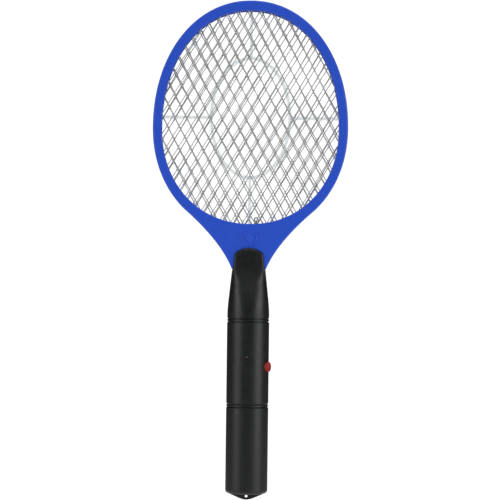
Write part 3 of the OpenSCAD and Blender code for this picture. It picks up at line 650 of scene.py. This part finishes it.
def spacer(name, node):
    """The oval that keeps two grids apart, with four spokes to a ring under the lip."""
    low, high = node_box(node)
    y0, y1 = low.y + 0.05, high.y - 0.05
    half_w, half_h, band, spoke_w, mid = 36.0, 54.0, 2.7, 2.5, Vector((0, 336.8))
    ways = [Vector((math.cos(2 * math.pi * k / 120), math.sin(2 * math.pi * k / 120))) for k in range(120)]
    rings = [[mid + Vector(((half_w - g) * way.x, (half_h - g) * way.y)) for way in ways] for g in (0, band)]
    rims = [[opening_point(way, margin) for way in ways] for margin in (MESH_MARGIN, 0.5)]
    parts = [band_ring("ring", *rings, y0, y1), band_ring("rim", *rims, y0, y1)]
    for way, size in ((Vector((1, 0)), half_w), (Vector((-1, 0)), half_w),
                      (Vector((0, 1)), half_h), (Vector((0, -1)), half_h)):
        start = mid + way * (size - band / 2)
        reach = OPENING_HALF_W if way.x else (OPENING_UP if way.y > 0 else OPENING_DOWN)
        centre = Vector((0, mid.y)) if way.x else Vector((0, OPENING_MID_H))
        parts.append(spoke("spoke", start, centre + way * (reach + 1), spoke_w, y0, y1))
    return finished(joined(name, parts), "swatter", [node], milky_plastic)


spacer("front_spacer_oval", "front_spacer")
spacer("rear_spacer_oval", "rear_spacer")

# ---------------------------------------------------------------- handle

GROOVE_LENGTH = 4.2


def ease_in(u):
    u = min(max(u, 0.0), 1.0)
    return u * u * (3 - 2 * u)


def between(a, b, u):
    return a + (b - a) * u


def collar_half_width(h):
    """Half width of the collar, seen from the front: a short bend, then a straight taper."""
    low, turn = COLLAR_FOOT_H + GROOVE_LENGTH, 177.6
    r_low, r_turn = HANDLE_R - 0.1, 17.5
    if h >= turn:
        return between(r_turn, THROAT_HALF_W, (h - turn) / (COLLAR_TOP_H - turn))
    u = max(0.0, (h - low) / (turn - low))
    return between(r_low, r_turn, u * u)


def collar_half_depth(h):
    """Half depth of the collar: from the round handle to the flatter throat."""
    low, high, throat_d = 164.0, COLLAR_TOP_H + 8, 10.9
    return between(HANDLE_R - 0.1, throat_d, ease_in((h - low) / (high - low)))


def tongue_half_width(h):
    """Half width of the tongue's foot against the blue face, up to its rounded tip."""
    foot_w, bend_w = 13.9, 12.6
    if h <= TONGUE_BEND_H:
        return between(foot_w, bend_w, (h - COLLAR_TOP_H) / (TONGUE_BEND_H - COLLAR_TOP_H))
    rise = TONGUE_TIP_H - TONGUE_BEND_H
    radius = (bend_w**2 + rise**2) / (2 * rise)
    drop = radius - (TONGUE_TIP_H - h)
    return math.sqrt(max(radius**2 - drop**2, 0.0))


HALF_STEPS = 72
FLANK = 14
SEAT_Y = FRAME_HALF_T + 0.06


def tongue_arc(half_w, depth, steps, edge_r=1.4):
    """The tongue's front from its right foot to its left foot."""
    points = []
    for k in range(steps + 1):
        x = half_w * math.cos(math.pi * k / steps)
        crown = math.sqrt(max(1 - (x / (half_w + 1.8)) ** 2, 0))
        rounding = math.sqrt(max(1 - max(abs(x) - half_w + edge_r, 0) ** 2 / edge_r**2, 0))
        points.append(Vector((x, SEAT_Y + depth * crown * rounding)))
    return points


def oval_half(half_w, half_d, power):
    """Half of a superellipse from its right end round the outside to its left end: (x, depth)."""
    turns = [math.pi * k / HALF_STEPS for k in range(HALF_STEPS + 1)]
    return [oval_point(half_w, half_d, half_d, power, t) for t in turns]


def shoulder_half(h):
    """Half of the section where the tongue stands up out of the collar."""
    half_w, foot_w = collar_half_width(h), tongue_half_width(h)
    edge_r = 1.4 + 0.25 * (COLLAR_TOP_H - h)
    front = tongue_arc(foot_w, collar_half_depth(h) - SEAT_Y, HALF_STEPS - 2 * FLANK, edge_r)
    side = []
    for k in range(FLANK):
        u = k / FLANK
        side.append(Vector((between(half_w, foot_w, u**4), SEAT_Y * math.sin(math.pi * u / 2))))
    return side + front + [Vector((-p.x, p.y)) for p in reversed(side)]


def section(h, grow=0.0):
    """Half of the handle's section at a height, round at the foot and flatter towards the head."""
    flat_low, flat_high, shoulder_low = 162, 196, 190
    if h <= COLLAR_FOOT_H + GROOVE_LENGTH:
        points = oval_half(handle_radius(h), handle_radius(h), 2)
    else:
        flatness = ease_in((h - flat_low) / (flat_high - flat_low))
        points = oval_half(collar_half_width(h), collar_half_depth(h), between(2, 2.5, flatness))
    share = ease_in((h - shoulder_low) / (COLLAR_TOP_H - shoulder_low))
    if share > 0:
        points = [p.lerp(q, share) for p, q in zip(points, shoulder_half(h))]
    return [p * (1 + grow / p.length) for p in points]


def handle_radius(h):
    """Radius of the round part, with the bead and groove at its foot and below the collar."""
    bead, groove, foot, collar = HANDLE_R - 0.15, HANDLE_R - 0.75, HANDLE_FOOT_H, COLLAR_FOOT_H
    radius = bead - 0.4 + min(h - foot, 0.4)
    for start, length, before, after in (
        (foot + 1.7, 0.4, bead, groove),
        (foot + 2.6, 0.7, groove, HANDLE_R),
        (collar, 0.6, HANDLE_R, groove),
        (collar + 1.2, 0.4, groove, bead),
        (collar + 2.9, 0.4, bead, groove),
        (collar + 3.7, 0.5, groove, HANDLE_R - 0.1),
    ):
        if h >= start:
            radius = between(before, after, ease_in((h - start) / length))
    return radius


def handle_heights():
    """Heights of the section rows, close together at the grooves."""
    foot = [HANDLE_FOOT_H + d for d in (0, 0.2, 0.4, 1.0, 1.7, 1.9, 2.1, 2.6, 2.8, 3.05, 3.3, 3.6)]
    body = [between(HANDLE_FOOT_H + 5, COLLAR_FOOT_H - 1, k / 24) for k in range(25)]
    groove_steps = (0, 0.2, 0.4, 0.6, 1.2, 1.4, 1.6, 2.2, 2.9, 3.1, 3.3, 3.7, 3.9, GROOVE_LENGTH)
    groove = [COLLAR_FOOT_H + d for d in groove_steps]
    start = COLLAR_FOOT_H + 5
    collar = [between(start, COLLAR_TOP_H - 0.5, k / 32) for k in range(33)]
    return foot + body + groove + collar + [COLLAR_TOP_H - 0.25, COLLAR_TOP_H]


def half_shell(name, side):
    """One half of the handle up to the shoulders, as a closed wall."""
    seam = 0.12
    outer, inner = [], []
    for h in handle_heights():
        round_off = max(0.0, h - (COLLAR_TOP_H - 0.5)) * 0.8
        ring = section(h)
        for k, p in enumerate(ring):
            keep = ease_in((p.y - SEAT_Y + 2) / 2)
            p.x -= math.copysign(round_off * (1 - keep), p.x)
        ring[0].x -= seam
        ring[-1].x += seam
        outer.append([(p.x, side * max(p.y, 0.01), h) for p in ring])
        inner.append([(p.x, side * max(p.y, 0.01), h) for p in section(h, -WALL)])
    width, count = len(outer[0]), len(outer)
    verts, faces = strips(outer)
    inner_verts, inner_faces = strips(inner)
    base = len(verts)
    verts += inner_verts
    faces += [tuple(base + k for k in reversed(f)) for f in inner_faces]
    for i in range(count - 1):
        for j in (0, width - 1):
            a, b = i * width + j, (i + 1) * width + j
            faces.append((a, b, base + b, base + a))
    for i in (0, count - 1):
        for j in range(width - 1):
            a = i * width + j
            faces.append((a, a + 1, base + a + 1, base + a))
    return tidy_mesh(mesh_object(name, verts, faces))


def tongue(name, side):
    """The rounded tongue that lies on the blue throat."""
    rise = TONGUE_TIP_H - TONGUE_BEND_H
    low = [between(COLLAR_TOP_H, TONGUE_BEND_H, k / 10) for k in range(11)]
    high = [TONGUE_BEND_H + rise * math.sin(math.radians(90 * k / 12)) for k in range(1, 12)]
    rows = []
    for h in low + high + [TONGUE_TIP_H - 0.01]:
        depth = collar_half_depth(h) - SEAT_Y
        if h > TONGUE_BEND_H:
            fall = (h - TONGUE_BEND_H) / rise
            depth *= (1 - fall**5) ** (1 / 2.2)
        points = tongue_arc(max(tongue_half_width(h), 0.05), max(depth, 0.02), HALF_STEPS - 2 * FLANK)
        rows.append([(p.x, side * p.y, h) for p in points])
    return loft(name, rows)


def button_matrix():
    """Z of a lathe part to the button's own axis, its origin on the handle's axis."""
    return stand(0, 0, BUTTON_H, -BUTTON_TURN, "Z") @ stand(0, 0, 0, 90, "Y")


button_low, button_high = node_box("push_button")
BUTTON_H = (button_low.z + button_high.z) / 2
press = next(j for j in frame["joints"] if j["name"] == "button_press")["axis"]
BUTTON_TURN = math.degrees(math.atan2(press[1], -press[0]))
BUTTON_R = 4.4
BUTTON_REACH = 21.0
led_low, led_high = node_box("led")
LED_X, LED_H = (led_low.x + led_high.x) / 2, (led_low.z + led_high.z) / 2

hole_r, mouth_r = BUTTON_R + 0.3, BUTTON_R + 1.1
hole_profile = [(0, 12), (hole_r, 12), (hole_r, HANDLE_R - 0.55), (mouth_r, HANDLE_R + 0.6), (mouth_r, 30),
                (0, 30)]
button_hole = lathe("button_hole", hole_profile, steps=64)
turned(button_hole, button_matrix())
led_hole = peg("led_hole", 1.6, -HANDLE_R - 2, -HANDLE_R + 4, LED_X, LED_H, steps=32)
front_shell = cut(half_shell("front_shell", FRONT), [button_hole, led_hole])
handle_front = joined("handle_front_shell", [front_shell, tongue("front_tongue", FRONT)])
finished(handle_front, "swatter", ["handle_front"], black_abs)

handle_screws = islands("handle_screws")
SCREW_SEAT_Y, WELL_R, HEAD_HOLE_R, THREAD_HOLE_R = 11.0, 4.2, 2.8, 1.5


def screw_well(p):
    """The tube that a handle screw's head sits in."""
    top = section(p.z)[HALF_STEPS // 2].y - 0.5
    foot = SCREW_SEAT_Y - 1.5
    loop = [(WELL_R, foot), (WELL_R, top), (HEAD_HOLE_R, top), (HEAD_HOLE_R, SCREW_SEAT_Y),
            (THREAD_HOLE_R, SCREW_SEAT_Y), (THREAD_HOLE_R, foot)]
    return turned(lathe("well", loop, steps=48), stand(0, 0, p.z, -90))


rear_cutters = [peg("well_hole", HEAD_HOLE_R, SCREW_SEAT_Y - 2, HANDLE_R + 2, 0, p.z) for p in handle_screws]
rear_shell = cut(half_shell("rear_shell", REAR), rear_cutters)
wells = [screw_well(p) for p in handle_screws]
handle_rear = joined("handle_rear_shell", [rear_shell, tongue("rear_tongue", REAR), *wells])
finished(handle_rear, "swatter", ["handle_rear"], black_abs)

# ---------------------------------------------------------------- button and lamp

dish = [(r, BUTTON_REACH - drop) for r, drop in ((0, 0.45), (1.5, 0.42), (2.8, 0.22), (3.4, 0.02))]
edge = list(reversed(arc((BUTTON_R - 0.7, BUTTON_REACH - 0.7), 0.7, 0, 90, 6)))
flange_r, flange_low, flange_high = 5.6, 14.3, 15.4
flange = [(flange_r, flange_high), (flange_r, flange_low + 0.1), (flange_r - 0.2, flange_low),
          (0, flange_low)]
button_profile = dish + edge + [(BUTTON_R, flange_high + 0.1)] + flange
push_button = turned(lathe("push_button_cap", list(reversed(button_profile)), steps=64), button_matrix())
finished(push_button, "button", ["push_button"], red_abs)

LAMP_R, LAMP_FOOT, LAMP_DOME = 1.5, 13.0, 17.4
rim_r, rim_top = LAMP_R + 0.35, LAMP_FOOT + 1.0
dome = arc((0, LAMP_DOME), LAMP_R, 0, 90, 6)
rim = [(0, LAMP_FOOT), (rim_r, LAMP_FOOT), (rim_r, rim_top), (LAMP_R, rim_top)]
lamp = lathe("indicator_lamp", rim + dome, steps=40)
turned(lamp, stand(LED_X, 0, LED_H, 90))
finished(lamp, "swatter", ["led"], lamp_epoxy)

# ---------------------------------------------------------------- battery cap


def lug_edge(x):
    """The lug's lower edge: a smooth swell from the cap's end down to the tip."""
    swell_h, bend_x, bend_w = 5.4, 13, 3.4
    return swell_h * ease_in(abs(x) / (HANDLE_R - 0.2)) + ease_in((abs(x) - bend_x) / bend_w)


def cap_wall():
    """The cap's wall and end, turned about the handle's axis."""
    wall, end_h, corner = 1.6, 5.8, 3.0
    inner = HANDLE_R - wall
    profile = [(0, end_h)] + arc((HANDLE_R - corner, end_h + corner), corner, -90, 0, 10)
    profile += [(HANDLE_R, CAP_TOP_H - 0.6), (HANDLE_R - 0.12, CAP_TOP_H - 0.2), (HANDLE_R - 0.4, CAP_TOP_H)]
    profile += [(inner + 0.3, CAP_TOP_H), (inner, CAP_TOP_H - 0.3), (inner, end_h + 4.5)]
    profile += [(inner - 2.5, end_h + 2), (0, end_h + 2)]
    return lathe("cap_wall", profile)


def lug():
    """The flat lug with its hole, its edges rounded."""
    half_t, ease, steps = 2.0, 0.7, 56
    reach = HANDLE_R - 1.8
    hole_r, hole_h, root_h = 1.25, 3.0, 7.0
    low = [Vector((between(-reach, reach, k / steps), 0)) for k in range(steps + 1)]
    for p in low:
        p.y = lug_edge(p.x)
    outline = low + [Vector((reach - 0.4, root_h)), Vector((0.4 - reach, root_h))]
    rows = []
    for inset, y in ((ease, -half_t), (ease * 0.3, -half_t + ease * 0.3), (0, -half_t + ease),
                     (0, half_t - ease), (ease * 0.3, half_t - ease * 0.3), (ease, half_t)):
        rows.append([(p.x * (1 - inset / 40), y, p.y + (inset if k <= steps else 0))
                     for k, p in enumerate(outline)])
    return cut(loft("lug", rows), [peg("lug_hole", hole_r, -6, 6, 0, hole_h, steps=40)])


battery_cap = joined("battery_cap_shell", [cap_wall(), lug()])
finished(battery_cap, "cap", ["battery_cap"], black_abs)

# ---------------------------------------------------------------- screws, terminals and leads


def piece_at_points():
    """One small part set down on every point, each at its own turn about its axis."""
    tree, given = node_group("piece_at_points", {"Piece": "Object", "Seed": "Int", "Metal": "Material"})
    shape = add(tree, "GeometryNodeObjectInfo", {"Object": given["Piece"]})
    any_turn = add(tree, "FunctionNodeRandomValue", {3: math.pi, "Seed": given["Seed"]}, data_type="FLOAT")
    turn = add(tree, "ShaderNodeCombineXYZ", {"Y": any_turn.outputs[1]})
    placed = add(tree, "GeometryNodeInstanceOnPoints", {
        "Points": given["Geometry"], "Instance": shape.outputs["Geometry"], "Rotation": turn.outputs[0]})
    return end_group(tree, placed.outputs[0], given["Metal"])


part_setter = piece_at_points()


def screw_shape(head_r, head_t, thread_r, length):
    """A pan head screw along +Y from the head's seat at 0, with a cross recess and a turned thread."""
    rise = [math.radians(a) for a in range(0, 76, 15)]
    crown = [(head_r * math.cos(a), head_t * (0.45 + 0.55 * math.sin(a))) for a in rise] + [(0, head_t)]
    pitch, root_r, core_r = 0.8, thread_r * 0.78, thread_r * 0.8
    thread = []
    for k in range(int(length / pitch)):
        h = -length + 1 + k * pitch
        if h < -0.5:
            thread += [(root_r, h), (thread_r, h + pitch / 2)]
    profile = [(0, -length), *thread, (core_r, -0.4), (core_r, 0), (head_r * 0.94, 0), *crown]
    screw = lathe("screw", profile, steps=32)
    turned(screw, stand(0, 0, 0, -90))
    half, reach, depth = head_r * 0.13, head_r * 0.62, head_t * 0.7
    corners = ((-reach, -half), (reach, -half), (reach, half), (-reach, half))
    arms = []
    for way in (0, 90):
        rows = [[(x * share, y, z * (0.6 + 0.4 * share)) for x, z in corners]
                for share, y in ((0.35, head_t - depth), (1.0, head_t + 0.5))]
        arms.append(turned(loft("arm", rows), stand(0, 0, 0, way, "Y")))
    cut(screw, arms).data.transform(Matrix.Translation((0, 0, -TIP)))
    return screw


def set_screws(name, node, places, seat_y, seed, shape):
    """The same screw at each place of its CAD node."""
    spots = [(p.x, seat_y, p.z) for p in places]
    obj = generated(name, spots, part_setter, {"Piece": shape, "Seed": seed, "Metal": zinc_steel})
    bpy.data.objects.remove(shape)
    return finished(obj, "swatter", [node], zinc_steel, sharp_angle=30)


rim_screw = screw_shape(head_r=1.9, head_t=1.1, thread_r=0.9, length=6.0)
set_screws("rim_screws", "frame_screws", rim_screws, BORE_FLOOR_Y, 3, rim_screw)
grip_screw = screw_shape(head_r=2.6, head_t=1.7, thread_r=1.3, length=9.0)
set_screws("grip_screws", "handle_screws", handle_screws, SCREW_SEAT_Y, 5, grip_screw)


def tube(name, points, radius):
    """A round wire through points, given as (x, y, height) in millimetres."""
    curve = bpy.data.curves.new(name, "CURVE")
    curve.dimensions = "3D"
    curve.bevel_depth = radius * MM
    curve.bevel_resolution = 3
    curve.resolution_u = 10
    curve.use_fill_caps = True
    line = curve.splines.new("BEZIER")
    line.bezier_points.add(len(points) - 1)
    for knot, point in zip(line.bezier_points, points):
        knot.co = place(*point)
        knot.handle_left_type = knot.handle_right_type = "AUTO"
    obj = linked(name, curve)
    depsgraph = bpy.context.evaluated_depsgraph_get()
    mesh = bpy.data.meshes.new_from_object(obj.evaluated_get(depsgraph))
    bpy.data.objects.remove(obj)
    return linked(name, mesh)


def eyelet(name, x, y, h, ring_r, wire_r):
    """A ring terminal: the loop, a solder bead at its foot and the crimped neck below it."""
    loop = [(ring_r - wire_r + wire_r * math.cos(a), wire_r * math.sin(a))
            for a in (2 * math.pi * k / 10 for k in range(10))]
    ring = lathe("loop", loop, steps=40)
    turned(ring, stand(x, y, h, 90))
    drop = [(0, -0.8), (0.45, -0.65), (0.62, -0.2), (0.55, 0.3), (0.3, 0.6), (0, 0.68)]
    bead = lathe("bead", drop, steps=20)
    turned(bead, Matrix.Translation((x, y, h - ring_r - 0.1)))
    neck_piece = tube("neck", [(x, y, h - ring_r - 0.4), (x, y, h - ring_r - 2.6)], wire_r * 1.3)
    return [ring, bead, neck_piece]


outer_low, outer_high = node_box("outer_terminals")
centre_low, centre_high = node_box("centre_terminal")
TERMINAL_X = (outer_low.x + outer_high.x) / 2
TERMINAL_H = outer_high.z - 2.2
TERMINAL_T = 0.6
outer_rings = []
for y in (outer_low.y + TERMINAL_T / 2, outer_high.y - TERMINAL_T / 2):
    outer_rings += eyelet("outer", TERMINAL_X, y, TERMINAL_H, ring_r=2.1, wire_r=0.42)
outer_rings = joined("outer_ring_terminals", outer_rings)
finished(outer_rings, "swatter", ["outer_terminals"], tinned_brass)
CENTRE_X = (centre_low.x + centre_high.x) / 2
CENTRE_Y = (centre_low.y + centre_high.y) / 2
centre_ring = eyelet("centre", CENTRE_X, CENTRE_Y, TERMINAL_H - 1.4, ring_r=1.2, wire_r=0.2)
centre_ring = joined("centre_ring_terminal", centre_ring)
finished(centre_ring, "swatter", ["centre_terminal"], tinned_brass)

# ---------------------------------------------------------------- cells and springs


def cell(name, node, positive_up):
    """A jacketed cell: a wrapped tube with shrunk ends, a stepped nub at one end and a flat cup at the
    other."""
    low, high = node_box(node)
    mid_x, mid_y = (low.x + high.x) / 2, (low.y + high.y) / 2
    radius, length, nub_t = (high.x - low.x) / 2, high.z - low.z, 1.3
    body = length - nub_t
    lip = arc((radius - 0.7, body - 0.7), 0.7, 0, 90, 6)
    foot = arc((radius - 0.7, 0.7), 0.7, -90, 0, 6)
    jacket_loop = [(radius - 2.2, 0.0)] + foot + [(radius, 1.6), (radius, body - 1.6)] + lip
    jacket_loop += [(radius - 2.4, body), (radius - 2.4, body - 0.35), (radius - 1.0, body - 0.4),
                    (radius - 1.0, 0.4), (radius - 2.2, 0.35)]
    jacket = lathe("jacket", jacket_loop, steps=64)
    base = [(0, 0.12), (radius - 2.6, 0.12), (radius - 2.3, 0.25), (radius - 1.3, 0.6)]
    top = [(radius - 1.3, body - 0.6), (radius - 2.6, body - 0.3), (3.4, body - 0.25), (2.9, body + 0.2),
           (2.75, body + nub_t - 0.4), (2.35, body + nub_t), (0, body + nub_t)]
    can = lathe("can", base + top, steps=64)
    band_r, band_low, band_high = radius + 0.03, body - 13.0, body - 1.7
    band_loop = [(band_r - 0.3, band_low), (band_r - 0.03, band_low), (band_r, band_low + 0.05),
                 (band_r, band_high - 0.05), (band_r - 0.03, band_high), (band_r - 0.3, band_high)]
    band = lathe("band", band_loop, steps=64)
    upright = stand(mid_x, mid_y, low.z, 0) if positive_up else stand(mid_x, mid_y, high.z, 180)
    for part, suffix, slot, material in (
        (jacket, "_jacket", "cell_jacket", cell_jacket), (can, "_can", "nickel_plate", nickel_plate),
        (band, "_band", "cell_jacket", jacket_band),
    ):
        part.name = name + suffix
        finished(turned(part, upright), "swatter", [node], material)


cell("right_cell", "battery_1", True)
cell("left_cell", "battery_2", False)


def coil_tree():
    """A tapered coil of round wire."""
    sizes = ("Foot Radius", "Top Radius", "Height", "Turns", "Wire Radius")
    tree, given = node_group("tapered_coil", {
        **{key: "Float" for key in sizes}, "Foot": "Vector", "Turn": "Vector", "Metal": "Material"})
    coil = add(tree, "GeometryNodeCurveSpiral", {
        "Resolution": 40, "Rotations": given["Turns"], "Start Radius": given["Foot Radius"],
        "End Radius": given["Top Radius"], "Height": given["Height"]})
    wire = add(tree, "GeometryNodeCurvePrimitiveCircle", {"Resolution": 12, "Radius": given["Wire Radius"]})
    bar = add(tree, "GeometryNodeCurveToMesh", {
        "Curve": coil.outputs[0], "Profile Curve": wire.outputs[0], "Fill Caps": True})
    moved = add(tree, "GeometryNodeTransform", {
        "Geometry": bar.outputs[0], "Translation": given["Foot"], "Rotation": given["Turn"]})
    return end_group(tree, moved.outputs[0], given["Metal"])


coil_maker = coil_tree()


def springs():
    """The two battery springs: one stands on the tray's floor, one hangs from its roof."""
    low, high = node_box("battery_springs")
    foot_r, top_r, wire_r, turns = 4.4, 2.2, 0.3, 3.25
    parts = []
    for p in islands("battery_springs"):
        standing = p.x > 0
        length = 2 * min(p.z - low.z, high.z - p.z)
        foot_h = low.z + wire_r if standing else high.z - wire_r
        parts.append(generated("spring", [(0, 0, 0)], coil_maker, {
            "Foot Radius": foot_r * MM, "Top Radius": top_r * MM, "Height": (length - 2 * wire_r) * MM,
            "Turns": turns, "Wire Radius": wire_r * MM, "Foot": place(p.x, p.y, foot_h),
            "Turn": (0.0 if standing else math.pi, 0.0, 0.0), "Metal": nickel_plate,
        }))
    obj = joined("cell_springs", parts)
    return finished(obj, "swatter", ["battery_springs"], nickel_plate, sharp_angle=80)


springs()

# ---------------------------------------------------------------- CAD nodes that show as they are

for node_name, material in {
    "outer_mesh_leads": red_pvc, "centre_mesh_lead": blue_pvc,
    "switch_body": switch_black, "switch_plunger": switch_white, "circuit_board": solder_mask,
    "transformer_core": ferrite, "transformer_bobbin": bobbin_plastic, "transformer_winding": copper_wire,
    "hv_capacitor": brown_epoxy, "doubler_capacitors": blue_epoxy, "doubler_diodes": black_epoxy,
    "transistor": black_epoxy, "resistors": tan_lacquer, "battery_carrier": tray_abs,
    "bridge_contact": nickel_plate, "positive_contact": nickel_plate, "negative_contact": nickel_plate,
    "battery_leads": red_pvc,
}.items():
    node_mesh = frame["nodes"][node_name].data
    node_mesh.materials.clear()
    node_mesh.materials.append(material)

# ---------------------------------------------------------------- studio

scene = bpy.context.scene
scene.view_settings.view_transform = "Standard"

paper_white = bpy.data.materials.new("studio_paper")
paper_white.use_nodes = True
paper = paper_white.node_tree.nodes["Principled BSDF"].inputs
paper["Base Color"].default_value = colour("#fafafa")
paper["Roughness"].default_value = 0.9
FLOOR_DROP, FLOOR_HALF = 120.0, 900.0
corners = [(x * FLOOR_HALF, y * FLOOR_HALF, -FLOOR_DROP) for x, y in ((-1, -1), (1, -1), (1, 1), (-1, 1))]
floor = mesh_object("floor", corners, [(0, 1, 2, 3)])
floor.data.materials.append(paper_white)

world = bpy.data.worlds.new("studio")
scene.world = world
world.use_nodes = True
sky = world.node_tree
sky.nodes.clear()
seen = add(sky, "ShaderNodeBackground", {"Color": (1, 1, 1, 1), "Strength": 1.1})
unseen = add(sky, "ShaderNodeBackground", {"Color": (1, 1, 1, 1), "Strength": 0.06})
ray = add(sky, "ShaderNodeLightPath")
chosen = add(sky, "ShaderNodeMixShader",
             {0: ray.outputs["Is Camera Ray"], 1: unseen.outputs[0], 2: seen.outputs[0]})
add(sky, "ShaderNodeOutputWorld", {"Surface": chosen.outputs[0]})

aim = place(0, 0, 200)


def softbox(name, azimuth, height, distance, width, tall, power):
    """A soft light at an azimuth from the front (towards +X), aimed at the swatter."""
    data = bpy.data.lights.new(name, "AREA")
    data.shape = "RECTANGLE"
    data.size, data.size_y, data.energy = width, tall, power
    light = linked(name, data)
    a = math.radians(azimuth)
    light.location = aim + Vector((math.sin(a) * distance, -math.cos(a) * distance, height))
    light.rotation_euler = (aim - light.location).to_track_quat("-Z", "Y").to_euler()
    return light


# Azimuth in degrees; height, distance, width and height of the light in metres; power in watts
softbox("right_box", 61, 0.2, 1.45, 0.9, 0.8, 7.8)
softbox("left_box", -59, 0.2, 1.45, 0.8, 0.8, 5.6)
softbox("front_fill", 0, 1.5, 1.3, 2.0, 1.2, 8.5)
softbox("rear_fill", 180, 1.3, 1.5, 1.5, 1.2, 14)
softbox("overhead", 180, 2.2, 0.3, 2.0, 2.0, 19)

camera_data = bpy.data.cameras.new("camera")
camera = linked("camera", camera_data)
CAMERA_DISTANCE = 2.2
VIEW_HEIGHT = 441.35 * MM
camera_data.sensor_width = 36
camera_data.lens = camera_data.sensor_width * CAMERA_DISTANCE / VIEW_HEIGHT
camera.location = place(0.85, 0, 220.3) - Vector((0, CAMERA_DISTANCE, 0))
camera.rotation_euler = (stand(0, 0, 0, 90) @ stand(0, 0, 0, 0.68, "Z")).to_euler()
scene.camera = camera
